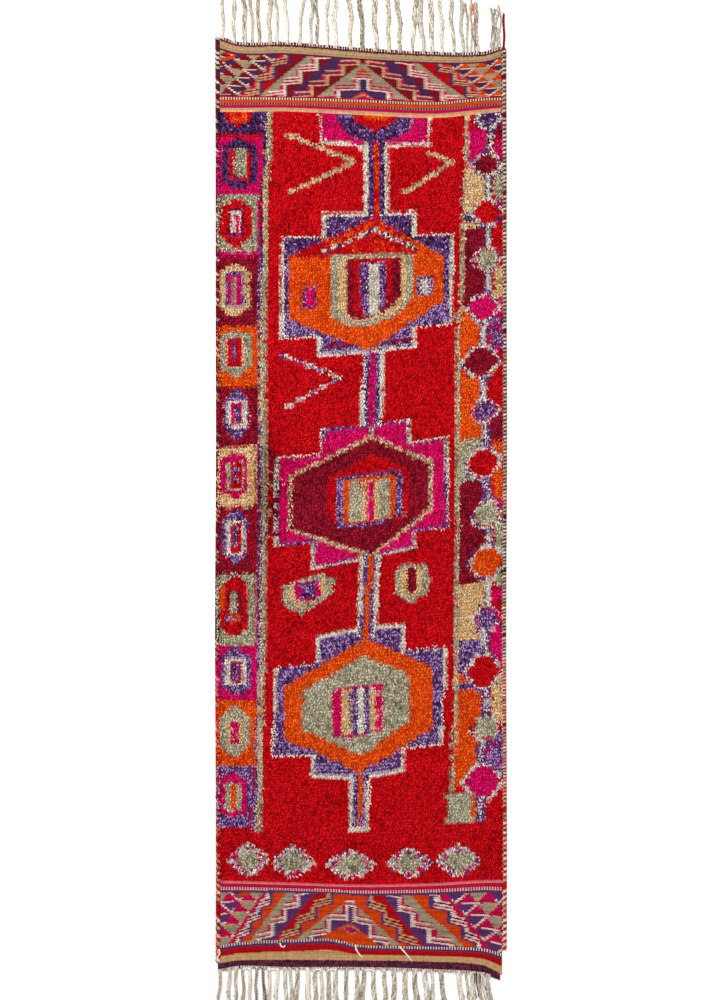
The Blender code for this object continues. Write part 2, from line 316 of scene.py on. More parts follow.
# A thin strip between some compartments and that line: its width, and top, bottom, yarn of each.
STRIP_WIDTH = 2.2
LEFT_STRIPS = (
    (100, 138, RED), (195, 257, MAGENTA), (447, 616, RED), (616, 646, MAGENTA), (766, 832, RED),
)
# The middle and half width of a worn, soiled patch beside the line.
WORN_X, WORN_Y, WORN_HALF = 268, 492, 15

# Beads of the right border: left, right, top, bottom, yarn, and the yarn of a dotted lining.
RIGHT_BEADS = (
    (478, 499, 112, 126, VIOLET, None), (475, 500, 156, 174, BURGUNDY, None),
    (474, 500.5, 202, 224, RED, None), (475, 498, 250, 269, SAGE, RED),
    (469, 497, 297, 319, MAGENTA, None), (464, 497, 348, 376, BURGUNDY, None),
    (473, 496, 402, 419, VIOLET, MAGENTA), (467, 499, 449, 476, RED, None),
    (474, 500, 503, 525, SAGE, RED), (471, 503, 548, 577, ORANGE, None),
    (475, 499, 609, 628, VIOLET, MAGENTA), (468, 500.5, 657, 686, RED, None),
    (472, 500, 719, 737, SAGE, RED), (464, 500, 766, 797, MAGENTA, None),
)
# Grounds left and right of the posts between the beads: top, bottom, yarn.
RIGHT_INNER = (
    (112, 127, RED), (127, 168, MAGENTA), (168, 214, TAN), (214, 221, VIOLET), (221, 228, TAN),
    (228, 305, BURGUNDY), (305, 437, ORANGE), (437, 480, SAGE), (480, 582, BURGUNDY), (582, 640, TAN),
    (640, 672, VIOLET), (672, 681, ORANGE), (681, 688, VIOLET), (688, 785, ORANGE), (785, 800, RED),
)
RIGHT_OUTER = (
    (112, 140, BURGUNDY), (140, 163, MAGENTA), (163, 200, SAGE), (200, 210, MAGENTA), (210, 268, RED),
    (268, 300, TAN), (300, 320, MAGENTA), (320, 352, VIOLET), (352, 410, RED), (410, 443, BURGUNDY),
    (443, 500, ORANGE), (500, 518, MAGENTA), (518, 552, SAGE), (552, 575, BURGUNDY), (575, 587, SAGE),
    (587, 602, MAGENTA), (602, 625, RED), (625, 672, MAGENTA), (672, 725, TAN), (725, 773, VIOLET),
    (773, 800, RED),
)
# Left edge of the sage line, and the middle of the posts: row, across. Then the width of that line,
# and half the widths of a post and of its ivory core.
RIGHT_LINE = ((115, 465), (160, 464), (200, 463), (250, 461.5), (310, 458.5), (340, 455.5),
              (400, 456), (480, 455.5), (540, 456.5), (640, 455), (700, 454), (740, 452.5), (790, 450.5))
POSTS = ((140, 490), (190, 489), (240, 488), (280, 488), (330, 483.5), (390, 483.5), (430, 484.5),
         (485, 486.5), (535, 489), (590, 489), (650, 484.5), (700, 487), (750, 481), (820, 480))
RIGHT_LINE_WIDTH = 3.4
POST_HALF, POST_CORE_HALF = 4.1, 1.4
# Rims round a bead, from the outermost in: how far each reaches past the bead across and along.
BEAD_FLECKS, BEAD_RIM, BEAD_LINING = (5.6, 4.4), (3.6, 3.0), (1.6, 1.4)


def drift(table, down):
    return np.interp(down, [row for row, _ in table], [across for _, across in table])


def draw_left_border(chart):
    """Compartments with lanterns, a red halo round the violet ones on burgundy, and a striped line."""
    line = drift(LEFT_LINE, chart.down)
    for top, bottom, ground, lantern, boxes in LEFT_COMPARTMENTS:
        band = chart.box(*LEFT_SPAN, top, bottom) & (chart.x < line)
        chart.fill(band, ground)
        left, right, tip, shoulder, low_shoulder, low_tip, yarn = lantern
        if (ground, yarn) == (BURGUNDY, VIOLET):
            halo = chart.lantern(
                left - 2.4, right + 2.4, tip - 2.6, shoulder - 2, low_shoulder + 2, low_tip + 2.6
            )
            chart.speckle(halo & band, RED, 0.5)
        chart.fill(chart.lantern(left, right, tip, shoulder, low_shoulder, low_tip) & band, yarn)
        for left, right, box_top, box_bottom, yarn in boxes:
            chart.fill(chart.box(left, right, box_top, box_bottom) & band, yarn)
    chart.speckle(chart.box(228, 250, 110, 122) & (chart.yarn == ORANGE), RED, 0.4)
    within = (chart.down >= 100) & (chart.down < 832)
    for top, bottom, yarn in LEFT_STRIPS:
        strip = (chart.x >= line - STRIP_WIDTH) & (chart.x < line)
        chart.fill(chart.box(240, 270, top, bottom) & strip, yarn)
    for start, end, yarn in LEFT_LINE_STRIPES:
        chart.fill(within & (chart.x >= line + start) & (chart.x < line + end), yarn)
    violet_end, line_end = line + LEFT_LINE_STRIPES[0][1], line + LEFT_LINE_STRIPES[-1][1]
    chart.speckle(within & (chart.x >= violet_end) & (chart.x < line_end), SAGE, 0.2)
    soiled = ((chart.x - WORN_X) / WORN_HALF) ** 2 + ((chart.down - WORN_Y) / 48) ** 2 < 1
    chart.speckle(soiled & (chart.x > line_end) & (chart.x < 276), BURGUNDY, 0.55)
    chart.speckle(soiled & (chart.x > line_end) & (chart.x < 284), TAN, 0.09)


def draw_right_border(chart):
    """Grounds on both sides of the posts, then the posts, beads with flecked rims, and a sage line."""
    def around(bead, reach):
        left, right, top, bottom = bead
        return chart.bead(left - reach[0], right + reach[0], top - reach[1], bottom + reach[1])

    line = drift(RIGHT_LINE, chart.down)
    post = drift(POSTS, chart.down)
    inner = (chart.x >= line + RIGHT_LINE_WIDTH) & (chart.x < post)
    outer = chart.x >= post
    for side, table in ((inner, RIGHT_INNER), (outer, RIGHT_OUTER)):
        for top, bottom, yarn in table:
            chart.fill(side & chart.box(*RIGHT_SPAN, top, bottom), yarn)
    whole = chart.box(*RIGHT_SPAN, 100, 799)
    post_zone = chart.box(*RIGHT_SPAN, 118, 821)
    chart.speckle(whole & (np.abs(chart.x - post - 5) < 1.6), RED, 0.7)
    for top, bottom in ((320, 350), (735, 770)):
        chart.speckle(outer & chart.box(480, 520, top, bottom), MAGENTA, 0.18)
    off_post = np.abs(chart.x - post)
    chart.fill(post_zone & (off_post < POST_HALF), VIOLET)
    chart.speckle(post_zone & (off_post < POST_HALF), IVORY, 0.12)
    chart.fill(post_zone & (off_post < POST_CORE_HALF), IVORY)
    for *bead, yarn, lining in RIGHT_BEADS:
        chart.speckle(around(bead, BEAD_FLECKS) & (chart.x > line + 3), VIOLET, 0.42)
        rim = around(bead, BEAD_RIM)
        chart.fill(rim, IVORY)
        chart.fill(rim & chart.every_third, VIOLET)
        if lining is not None:
            chart.speckle(around(bead, BEAD_LINING), lining, 0.85)
        chart.fill(chart.bead(*bead), yarn)
    chart.fill(chart.box(446, 473, 793, 822), SAGE)
    chart.fill(chart.box(472, 475, 796, 818), ORANGE)
    seam = (chart.down < 792) & (chart.down >= 100)
    chart.fill(seam & (chart.x >= line) & (chart.x < line + RIGHT_LINE_WIDTH), SAGE)
    chart.speckle(seam & (chart.x >= line + 1) & (chart.x < line + 4.5), TAN, 0.4)
    chart.speckle(seam & (chart.x >= line - 2) & (chart.x < line), SAGE, 0.3)


def draw_pole(chart, start, end, widths, core):
    """The link between two medallions: ivory outside, violet within, and its core."""
    for width, yarn in zip(widths, (IVORY, VIOLET, core)):
        chart.fill(chart.strip(start, end, width), yarn)


def draw_top_medallion(chart):
    """Only its lower part is knotted: the flat-woven end cuts it off."""
    chart.fill_shapes((
        (((318, 100), (431, 100), (430, 145), (388, 148), (366, 150), (319, 143)), IVORY),
        (((321, 100), (428, 100), (427, 142), (388, 145), (366, 146), (322, 139)), MAGENTA),
        (((321, 100), (428, 100), (426, 116), (404, 134), (376, 145), (352, 137), (327, 117)), VIOLET),
        (((321, 111), (334, 111), (344, 131), (324, 139)), MAGENTA),
        (((428, 114), (416, 114), (408, 134), (426, 139)), MAGENTA),
        (((350, 100), (402, 100), (397, 120), (377, 132), (355, 122)), RED),
        (((359, 100), (394, 100), (388, 119), (366, 119)), ORANGE),
    ))


def draw_first_medallion(chart):
    """A house front: a stepped violet ground, an orange hexagon with a roof, and two small boxes
    beside the big striped shield."""
    boxes = ((323.5, 416, 317, 415, 213, 359), (281.5, 454.5, 280, 451.5, 236.5, 339))
    chart.fill(chart.steps(boxes, 0, 0), IVORY)
    chart.fill(chart.steps(boxes, 3.3, 2.7), VIOLET)
    chart.fill(chart.box(326, 355, 342, 347) | chart.box(389, 413, 338, 342), BURGUNDY)
    body = chart.shape(((374, 218), (443.7, 256), (443.7, 301), (368, 351), (288.5, 319), (288.5, 257)))
    chart.fill(body, ORANGE)
    attic = body & (chart.down < np.where(chart.x < 345, 257, 254))
    chart.fill(attic & (chart.x < 416), RED)
    chart.speckle(attic & (chart.x > 345), ORANGE, 0.2)
    roof = attic & ~chart.shape(((374, 227), (420, 252), (414, 258), (320, 258), (324, 253)))
    chart.speckle(roof & (chart.x > 324), ORANGE, 0.4)
    ridge = ((323, 252), (350, 241), (374.5, 230), (414.5, 248))
    chart.fill(chart.stroke(ridge, 3.6), VIOLET)
    chart.fill(chart.stroke(ridge, 3.2) & ~chart.every_third, IVORY)
    chart.fill_shapes((
        ((
            (330, 255), (413, 254), (413, 296), (406, 307),
            (390, 318.5), (368, 326), (347, 326), (330, 317),
        ), SAGE),
        ((
            (338.5, 258), (405.5, 258), (405.5, 298), (400, 307),
            (388, 314.5), (368, 321.5), (349, 321.5), (338.5, 313),
        ), TAN),
        ((
            (346, 259), (400, 259), (400, 296), (394, 305),
            (382, 313.5), (361, 320), (350, 318.5), (346, 312),
        ), BURGUNDY),
        ((
            (354.5, 258), (391.5, 258), (391.5, 294), (386, 305), (376, 314), (361, 316), (354.5, 312),
        ), RED),
        (((361, 262), (386, 262), (386, 304), (377, 315), (363, 316), (361, 308)), VIOLET),
        (((367.2, 264), (379.2, 264), (379.2, 313), (367.2, 314)), IVORY),
    ))
    small_boxes = ((302.5, 318, 286, 309, MAGENTA), (416.5, 433, 276, 296, IVORY))
    for left, right, top, bottom, core in small_boxes:
        chart.fill(chart.box(left, right, top, bottom), VIOLET)
        chart.fill(chart.box(left + 3.2, right - 3.2, top + 2.8, bottom - 2.5), core)


def draw_second_medallion(chart):
    """A stepped magenta ground, a burgundy hexagon and a striped shield."""
    boxes = ((320.5, 409, 310, 416, 430, 573), (274.5, 447.5, 274, 450, 456, 547))
    chart.fill(chart.steps(boxes, 0, 0), IVORY)
    chart.speckle(chart.steps(boxes, 0, 0), SAGE, 0.2)
    chart.fill(chart.steps(boxes, 2.4, 2.0), VIOLET)
    chart.fill(chart.steps(boxes, 4.2, 3.6), MAGENTA)
    chart.fill(chart.stroke(((371, 418), (371, 440)), 3.2), SAGE)
    rim = chart.shape((
        (371, 434.5), (432.5, 461), (432.5, 510), (371, 558), (287.5, 530.5), (287.5, 476),
    ))
    chart.fill(rim, TAN)
    chart.speckle(rim, SAGE, 0.5)
    chart.fill_shapes((
        (((371, 438.5), (429, 463.5), (429, 508), (371, 554), (291.5, 528), (291.5, 478)), BURGUNDY),
        ((
            (327, 478), (352, 466), (372, 454), (407, 468),
            (409, 513), (400, 521), (334, 524), (329, 512),
        ), RED),
        (((335.5, 478), (402.5, 470), (403, 515), (385, 523), (360, 528), (337, 529)), VIOLET),
        (((342.5, 479), (396, 472.5), (396, 515), (378, 521), (343, 524.5)), ORANGE),
        (((350, 482), (388.5, 478), (388.5, 515), (374, 520), (350, 521)), SAGE),
        (((361, 481), (378, 480), (378, 519), (361, 520)), TAN),
        (((366.5, 483), (372.5, 483), (372.5, 520), (366.5, 521)), MAGENTA),
        (((402.5, 509), (409, 511), (403, 517)), ORANGE),
    ))
    chart.speckle(chart.stroke(((360, 487), (375, 489)), 3), RED, 0.5)


def draw_third_medallion(chart):
    """A stepped violet ground, an orange and a sage hexagon, and a striped shield."""
    boxes = ((317, 405, 310.5, 404, 642, 776), (275.5, 448, 271.5, 442.5, 665.5, 757))
    chart.fill(chart.steps(boxes, 0, 0), IVORY)
    chart.fill(chart.steps(boxes, 2.9, 2.6), VIOLET)
    chart.fill_shapes((
        ((
            (366, 638), (433.5, 667), (433.5, 728), (359.5, 773), (314, 751), (283, 740), (285.5, 686),
        ), ORANGE),
        (((364, 655.5), (409.5, 674), (409.5, 720), (362, 756), (302.5, 730), (302.5, 691)), SAGE),
        (((334, 691), (350, 686), (382.5, 683), (382.5, 731), (350, 738), (334, 738)), MAGENTA),
        (((340.5, 690), (377, 686), (377, 730), (340.5, 735.5)), TAN),
        (((350.5, 690), (370.5, 686), (370.5, 732), (350.5, 734.5)), VIOLET),
        (((358, 688), (365.8, 687), (365.8, 733), (358, 734)), IVORY),
    ))


def draw_small_shields(chart):
    chart.fill_shapes((
        (((281, 585), (322, 574), (335, 579), (334, 594), (318, 604), (303, 614), (284, 607)), SAGE),
        (((289, 588), (322, 580), (328, 583), (327, 592), (312, 602), (299, 606), (290, 601)), TAN),
        (((296, 583), (320, 579), (321, 597), (311, 601), (297, 602)), MAGENTA),
        (((303, 586), (314, 583), (315, 596), (304, 599)), VIOLET),
        (((394, 573), (402, 565), (428, 563), (431, 580), (428, 594), (411, 603), (395, 594)), SAGE),
        (((401, 570), (423, 568), (423, 590), (412, 597), (402, 592)), TAN),
        (((408.5, 568), (416, 568), (416, 592), (408.5, 593)), BURGUNDY),
    ))
    for points in (((299, 582), (318, 600)), ((318, 580), (299, 600))):
        chart.speckle(chart.stroke(points, 3), VIOLET, 0.8)


# Chevrons in the red ground: points, width, yarn, and the yarn of its flecks.
CHEVRONS = (
    (((288, 135), (356, 162), (288, 193)), 4.2, SAGE, TAN),
    (((428, 153), (453, 162), (404, 193)), 4.2, SAGE, TAN),
    (((281, 355), (339, 378), (285, 408)), 3.4, IVORY, VIOLET),
)


def draw_field(chart):
    draw_top_medallion(chart)
    draw_first_medallion(chart)
    draw_second_medallion(chart)
    draw_third_medallion(chart)
    draw_pole(chart, (376, 143), (376, 215), (24, 15, 7), RED)
    draw_pole(chart, (373, 352), (371, 427), (22, 13, 5.8), MAGENTA)
    draw_pole(chart, (371, 556), (366, 637), (20, 12.5, 5.6), ORANGE)
    draw_pole(chart, (360.5, 775), (358, 831), (20.5, 13, 4.6), ORANGE)
    chart.speckle(chart.strip((376, 143), (376, 215), 6), ORANGE, 0.4)
    chart.fill(chart.strip((376, 213), (375, 224), 6), RED)
    chart.fill(chart.strip((366.5, 628), (366, 646), 6), ORANGE)
    chart.fill(chart.box(348, 369, 827, 832), IVORY)
    for points, width, yarn, flecks in CHEVRONS:
        line = chart.stroke(points, width)
        chart.fill(line, yarn)
        chart.speckle(line, flecks, 0.45)
    draw_small_shields(chart)


# Sage lozenges below the field: middle across, middle down, half width, half height. Fullness 1 would
# make each a straight-sided diamond, and 2 an oval.
LOZENGES = (
    (248, 860, 21, 17.6), (293, 862, 22, 16.8), (350.5, 865, 26, 15.6), (409, 863, 23, 16.4),
    (458, 860.6, 23, 17),
)
LOZENGE_FULLNESS = 1.2


def draw_lozenges(chart):
    """Each is a dotted ivory and violet edge, magenta flecks and a sage heart."""
    for x, y, half_x, half_y in LOZENGES:
        across, down = np.abs(chart.x - x) / half_x, np.abs(chart.down - y) / half_y
        reach = (across**LOZENGE_FULLNESS + down**LOZENGE_FULLNESS) ** (1 / LOZENGE_FULLNESS)
        chart.fill(reach < 1, IVORY)
        chart.fill((reach < 1) & chart.every_third, VIOLET)
        chart.speckle(reach < 0.86, MAGENTA, 0.45)
        chart.fill(reach < 0.64, SAGE)


def pile_chart(across, rows):
    chart = Chart(across, rows, RED, stray=0.24)
    draw_field(chart)
    draw_left_border(chart)
    draw_right_border(chart)
    draw_lozenges(chart)
    return chart


# The flat-woven ends are stepped bands, mirrored about the middle. first is how far out a stair's
# first upright stands and top the row of its head; each step goes out by run and down by rise; its
# bars fall by drop as they go out, are reach long and bar thick, and are named from the lowest up;
# diagonal (out, row, slope) is where the ground behind them ends.
Stair = namedtuple("Stair", "first top run rise drop reach bar band line accent backing bars diagonal")
TOP_STAIRS = (
    Stair(
        74.0, 49.0, 14.0, 15.5, 0.18, 19.0, 1.3, BURGUNDY, VIOLET, TAN, MAGENTA,
        (VIOLET, TAN, MAGENTA, TAN, AUBERGINE, TAN), (82.5, 55.0, 0.95),
    ),
    Stair(
        46.3, 55.6, 16.0, 13.8, 0.12, 20.0, 1.45, BURGUNDY, IVORY, MAGENTA, SAGE,
        (IVORY, MAGENTA, IVORY, MAGENTA, IVORY), (56.5, 56.0, 1.17),
    ),
    Stair(
        20.0, 60.8, 15.5, 11.7, 0.1, 20.0, 1.5, BURGUNDY, TAN, MAGENTA, VIOLET,
        (TAN, VIOLET, MAGENTA, TAN), (36.0, 60.0, 1.03),
    ),
    Stair(
        5.0, 74.5, 19.5, 13.0, 0.08, 25.0, 1.5, VIOLET, IVORY, MAGENTA, SAGE,
        (IVORY, MAGENTA, SAGE, MAGENTA, SAGE), (4.5, 62.0, 1.2),
    ),
)
BOTTOM_STAIRS = (
    Stair(
        80.0, 891.5, 10.0, 14.2, 0.34, 15.5, 1.45, ORANGE, VIOLET, IVORY, MAGENTA,
        (VIOLET, IVORY, MAGENTA, IVORY, AUBERGINE, IVORY), (93.0, 900.0, 0.7),
    ),
    Stair(
        53.0, 893.5, 12.8, 14.6, 0.18, 17.0, 1.45, VIOLET, IVORY, MAGENTA, SAGE,
        (IVORY, MAGENTA, SAGE, IVORY, MAGENTA), (70.0, 900.0, 0.76),
    ),
    Stair(
        19.0, 889.5, 15.8, 15.6, 0.28, 22.0, 1.45, ORANGE, VIOLET, TAN, RED,
        (VIOLET, TAN, RED, TAN, AUBERGINE, TAN), (48.0, 907.5, 0.85),
    ),
    Stair(
        4.0, 902.6, 17.5, 17.0, 0.12, 21.0, 1.5, VIOLET, IVORY, MAGENTA, SAGE,
        (IVORY, MAGENTA, SAGE, IVORY, MAGENTA), (0.0, 897.5, 1.25),
    ),
)
# Half the width of a stair's uprights, and where the accent beside each starts and ends.
UPRIGHT_HALF = 1.5
ACCENT_START, ACCENT_END = 1.3, 5.0
# Rows of teeth at both ends: first tip out and row, step out and down from row to row, step out from
# tooth to tooth, half width, height, ground at left and right, and the yarns that take turns there.
TOP_TEETH = (
    91.5, 60.0, 8.6, 8.5, 17.5, 9.0, 6.8,
    (BURGUNDY, ORANGE), (VIOLET, SAGE), (VIOLET, SAGE),
)
BOTTOM_TEETH = (
    94.0, 900.0, 8.0, 10.8, 18.0, 9.2, 8.4,
    (MAGENTA, MAGENTA), (SAGE, VIOLET), (VIOLET, SAGE),
)
# Pixels across at the middle of each end.
TOP_MIDDLE, LOW_MIDDLE = 363.5, 351.0
# At the low end the right half is woven wider: how far out the same thing stands there and at left.
LOW_RIGHT_OUT = (0.0, 18.5, 30.5, 47.0, 61.5, 77.5, 94.5, 111.5, 152.0)
LOW_LEFT_OUT = (0.0, 20.5, 34.5, 52.0, 66.5, 79.0, 88.0, 100.0, 134.0)
# How far the low end's rows are bowed, at these places across.
BOW_ACROSS = (220, 240, 280, 300, 315, 325, 335, 345, 352, 370, 500)
BOW_DOWN = (2.0, 0.0, -1.0, -2.0, -3.5, -4.5, -4.0, -2.2, 0.3, 1.3, 1.3)


def draw_teeth(chart, zone, out, right, teeth):
    tip, tip_row, step_out, step_down, pitch, half, height, grounds, yarns, right_yarns = teeth
    chart.fill(zone, grounds[0])
    chart.fill(zone & right, grounds[1])
    for level in range(-1, 6):
        for place in range(-2, 6):
            middle = tip + step_out * level + pitch * place
            up = (tip_row + step_down * level - chart.row) / height
            reach = np.abs(out - middle) / half
            for side, yarn in ((~right, yarns[place % 2]), (right, right_yarns[place % 2])):
                rim, rim_yarn = (0.27, IVORY) if yarn == VIOLET else (0.12, TAN)
                outline = side & (up >= -rim) & (up < 1.16) & (reach < up + rim) & (out > middle - 3)
                chart.fill(zone & outline, rim_yarn)
                chart.fill(zone & side & (up >= 0) & (up < 1) & (reach < up), yarn)


def ground_edge(chart, stair):
    out, row, slope = stair.diagonal
    return out + slope * (chart.row - row)


def draw_stair(chart, zone, out, stair):
    """The ground behind the bars, the band below the steps, then bars, accent and upright of each."""
    edge = ground_edge(chart, stair)
    inside = zone & (out < edge)
    chart.fill(inside, stair.backing)
    step = np.floor((out - stair.first + UPRIGHT_HALF) / stair.run)
    past = out - stair.first - step * stair.run
    below = chart.row > stair.top + stair.rise * (step + 1) + stair.drop * past
    chart.fill(inside & below, stair.band)
    high = stair.bar * len(stair.bars)
    for step in range(-1, 4):
        past = out - stair.first - step * stair.run
        foot = stair.top + stair.rise * (step + 1)
        head = foot - stair.rise + stair.drop * stair.run
        above = foot + stair.drop * past - chart.row
        slant = stair.reach - 0.5 * above
        for i, yarn in enumerate(stair.bars):
            bar = (above >= stair.bar * i) & (above < stair.bar * (i + 1))
            chart.fill(zone & bar & (past > -UPRIGHT_HALF) & (past < slant) & (out < edge + 3), yarn)
        beside = (past >= ACCENT_START) & (past < ACCENT_END) & (chart.row >= head) & (above >= high)
        chart.fill(inside & beside, stair.accent)
        upright = (np.abs(past) < UPRIGHT_HALF) & (chart.row >= head) & (above >= 0)
        chart.fill(zone & upright, stair.line)


def draw_flatwoven_end(chart, middle, zone_rows, stairs, teeth, heart_row, stretch=None):
    """The band between two rows: teeth at the sides, stairs towards the middle, and an orange heart
    with a small diamond below heart_row. stretch says what stands where in a wider right half."""
    out = np.abs(chart.x - middle)
    right = chart.x > middle
    if stretch:
        out = np.where(right, np.interp(out, *stretch), out)
    zone = (chart.row >= zone_rows[0]) & (chart.row < zone_rows[1])
    draw_teeth(chart, zone, out, right, teeth)
    for stair in stairs:
        draw_stair(chart, zone, out, stair)
    below = chart.row - heart_row
    chart.fill(zone & (out < 1.5 * below) & (below > 0), ORANGE)
    chart.fill(zone & (out / 10 + np.abs(below - 7.5) / 4.6 < 1), SAGE)
    chart.fill(zone & (out / 8 + np.abs(below - 7.5) / 3.4 < 1), MAGENTA)


def stripes_across(chart, stripes):
    for top, bottom, yarn in stripes:
        chart.fill((chart.row >= top) & (chart.row < bottom), yarn)


def dotted_line(chart, top, bottom, yarn, dots):
    line = (chart.row >= top) & (chart.row < bottom)
    chart.fill(line, yarn)
    chart.fill(line & (np.mod(chart.across, 2 * WARP_PIXELS) < WARP_PIXELS), dots)


def top_flatweave_chart(across, rows):
    chart = Chart(across, rows, BURGUNDY, comb=1.1)
    draw_flatwoven_end(chart, TOP_MIDDLE, (54.5, 97.5), TOP_STAIRS, TOP_TEETH, 89.0)
    out = np.abs(chart.x - TOP_MIDDLE)
    outer = (out > ground_edge(chart, TOP_STAIRS[1])) & (out < ground_edge(chart, TOP_STAIRS[0]))
    outer &= (chart.yarn == BURGUNDY) & ((chart.x > TOP_MIDDLE) | (chart.row > 79)) & (chart.row < 96)
    chart.fill(outer, RED)
    chart.fill((out < 6) & (chart.row > 64 + 0.55 * out) & (chart.row < 68.4), ORANGE)
    for start, end, width in (((228, 53.6), (246, 53.2), 2.4), ((222, 60), (234, 57), 3.4)):
        chart.fill(chart.stroke((start, end), width), ORANGE)
    stripes = (
        (40, 50.0, TAN), (50.0, 53.2, SAGE), (53.2, 55.0, BURGUNDY), (96.6, 97.9, RED),
        (100.4, 103.2, ORANGE), (105.2, 108, MAGENTA), (108, 110.6, TAN), (110.6, 114, BURGUNDY),
    )
    stripes_across(chart, stripes)
    dotted_line(chart, 97.9, 100.4, AUBERGINE, IVORY)
    dotted_line(chart, 103.2, 105.2, AUBERGINE, SAGE)
    return chart


def bottom_flatweave_chart(across, rows):
    chart = Chart(across, rows, MAGENTA, comb=1.1)
    bowed = np.interp(chart.row, (884, 900, 942, 950, 962), (0.0, 0.45, 1.0, 0.75, 0.15))
    chart.row = chart.row - bowed * np.interp(chart.x, BOW_ACROSS, BOW_DOWN)
    stretch = (LOW_RIGHT_OUT, LOW_LEFT_OUT)
    draw_flatwoven_end(chart, LOW_MIDDLE, (892.5, 941.2), BOTTOM_STAIRS, BOTTOM_TEETH, 920.0, stretch)
    orange_tooth = chart.shape(((229, 897), (243, 892), (252, 892), (247, 896)))
    chart.fill(orange_tooth & (chart.row > 893), ORANGE)
    stripes = (
        (870, 884.6, TAN), (884.6, 888.4, MAGENTA), (891, 893.2, VIOLET),
        (943.6, 946.2, VIOLET), (946.2, 952.2, RED), (952.2, 962, TAN),
    )
    stripes_across(chart, stripes)
    dotted_line(chart, 888.4, 891, RED, IVORY)
    dotted_line(chart, 941.0, 943.6, AUBERGINE, IVORY)
    return chart


# Materials.


def add_node(tree, kind, settings=None, links=None):
    """A node with its settings by name, and links as {input: (node, output)} or plain values."""
    node = tree.nodes.new(kind)
    for name, value in (settings or {}).items():
        setattr(node, name, value)
    for socket, source in (links or {}).items():
        if isinstance(source, tuple) and isinstance(source[0], bpy.types.Node):
            tree.links.new(source[0].outputs[source[1]], node.inputs[socket])
        else:
            node.inputs[socket].default_value = source
    return node


def attribute(tree, name):
    return add_node(tree, "ShaderNodeAttribute", {"attribute_name": name})


def noise(tree, place, grain_mm):
    settings = {"Vector": (place, "Object"), "Scale": 1000.0 / grain_mm, "Detail": 2.0}
    return add_node(tree, "ShaderNodeTexNoise", None, settings)


def add_scaled(tree, value, factor, more):
    """value times factor, plus more."""
    node = add_node(tree, "ShaderNodeMath", {"operation": "MULTIPLY_ADD"}, {0: value, 1: factor, 2: more})
    return (node, "Value")


def ranged(tree, value, low, high, to_low, to_high):
    limits = {"From Min": low, "From Max": high, "To Min": to_low, "To Max": to_high}
    return (add_node(tree, "ShaderNodeMapRange", None, {"Value": value, **limits}), "Result")


def dimmed(tree, color, factor):
    node = add_node(tree, "ShaderNodeVectorMath", {"operation": "SCALE"}, {0: color, "Scale": factor})
    return (node, "Vector")


def wool_material(name, colors, strand_mm, depth, patterned=False, mottle=(14.0, 0.7)):
    """Dull wool. colors: usual, darkest and palest strand. A patterned piece brings its yarn's
    colour in the attribute "yarn"; every tuft or turn brings its own shade, lot is the dye lot it was
    knotted from, with a few pile ends painted darker as painted shade, and tip says how far up the
    strand a point is, or how high it lies on a weave or cord. depth is how strong the painted shade
    is where tip is 0: painted shade at the roots of the pile, in hollows and under strands, with a
    touch of painted light where tip is 1. strand_mm is the grain of the fibre, and mottle the size in
    millimetres and the strength of the patches in the dye."""
    material = bpy.data.materials.new(name)
    material.use_nodes = True
    tree = material.node_tree
    shader = tree.nodes["Principled BSDF"]
    shader.inputs["Roughness"].default_value = 0.85
    shader.inputs["IOR"].default_value = 1.54
    shader.inputs["Specular IOR Level"].default_value = 0.06
    place = add_node(tree, "ShaderNodeTexCoord")
    patches = noise(tree, place, mottle[0])
    lots = add_scaled(tree, (patches, "Fac"), mottle[1], (attribute(tree, "lot"), "Fac"))
    strand = add_scaled(tree, (attribute(tree, "shade"), "Fac"), 0.8, lots)
    # Painted shade: the colour darkens toward tip 0 and is painted a little lighter than its own at tip
    # 1.
    lit = ranged(tree, (attribute(tree, "tip"), "Fac"), 0.0, 1.0, 1.0 - depth, 1.1)
    if patterned:
        tint = ranged(tree, strand, 0.15, 1.35, 0.4, 1.4)
        color = dimmed(tree, (attribute(tree, "yarn"), "Color"), tint)
    else:
        dyed = add_node(tree, "ShaderNodeValToRGB", None, {"Fac": strand})
        points = dyed.color_ramp.elements
        points[0].position, points[0].color = 0.3, linear(colors[1])
        points[1].position, points[1].color = 1.0, linear(colors[2])
        points.new(0.68).color = linear(colors[0])
        color = (dyed, "Color")
    shaded = dimmed(tree, color, lit)
    tree.links.new(shaded[0].outputs[shaded[1]], shader.inputs["Base Color"])
    fibre = noise(tree, place, strand_mm)
    bump = add_node(
        tree, "ShaderNodeBump", None, {"Height": (fibre, "Fac"), "Strength": 0.4, "Distance": 0.0008}
    )
    tree.links.new(bump.outputs["Normal"], shader.inputs["Normal"])
    return material


# Cut pile: painted shade darkens each tuft toward its root, where the pile shades itself, and its tip
# is painted a touch lighter. The strength of that painted shade for each yarn, in the order of the yarns.
PILE_ROOT_SHADES = (0.75, 0.72, 0.72, 0.75, 0.75, 0.66, 0.62, 0.5)
PILE_MATERIALS = [
    wool_material(name + "_cut_wool_pile", colors, 1.6, depth)
    for name, colors, depth in zip(YARN_NAMES, YARN_HEX, PILE_ROOT_SHADES)
]
# Weft-faced wool: hard-beaten and matt, in the colours of its pattern, with painted shade in the hollows
# of the weave.
flatweave_wool = wool_material("weft_faced_wool", YARN_HEX[RED], 1.2, 0.5, patterned=True)
# The back and the ground between knots: pressed knot collars, duller than the pile.
knot_back_wool = wool_material("knot_back_wool", YARN_HEX[BURGUNDY], 2.0, 0.0, patterned=True)
# Overcast yarn: tight turns of plied wool round the edge cord, with painted shade in the grooves between
# turns.
overcast_wool = wool_material("overcast_wool", YARN_HEX[BURGUNDY], 1.2, 0.6, patterned=True)
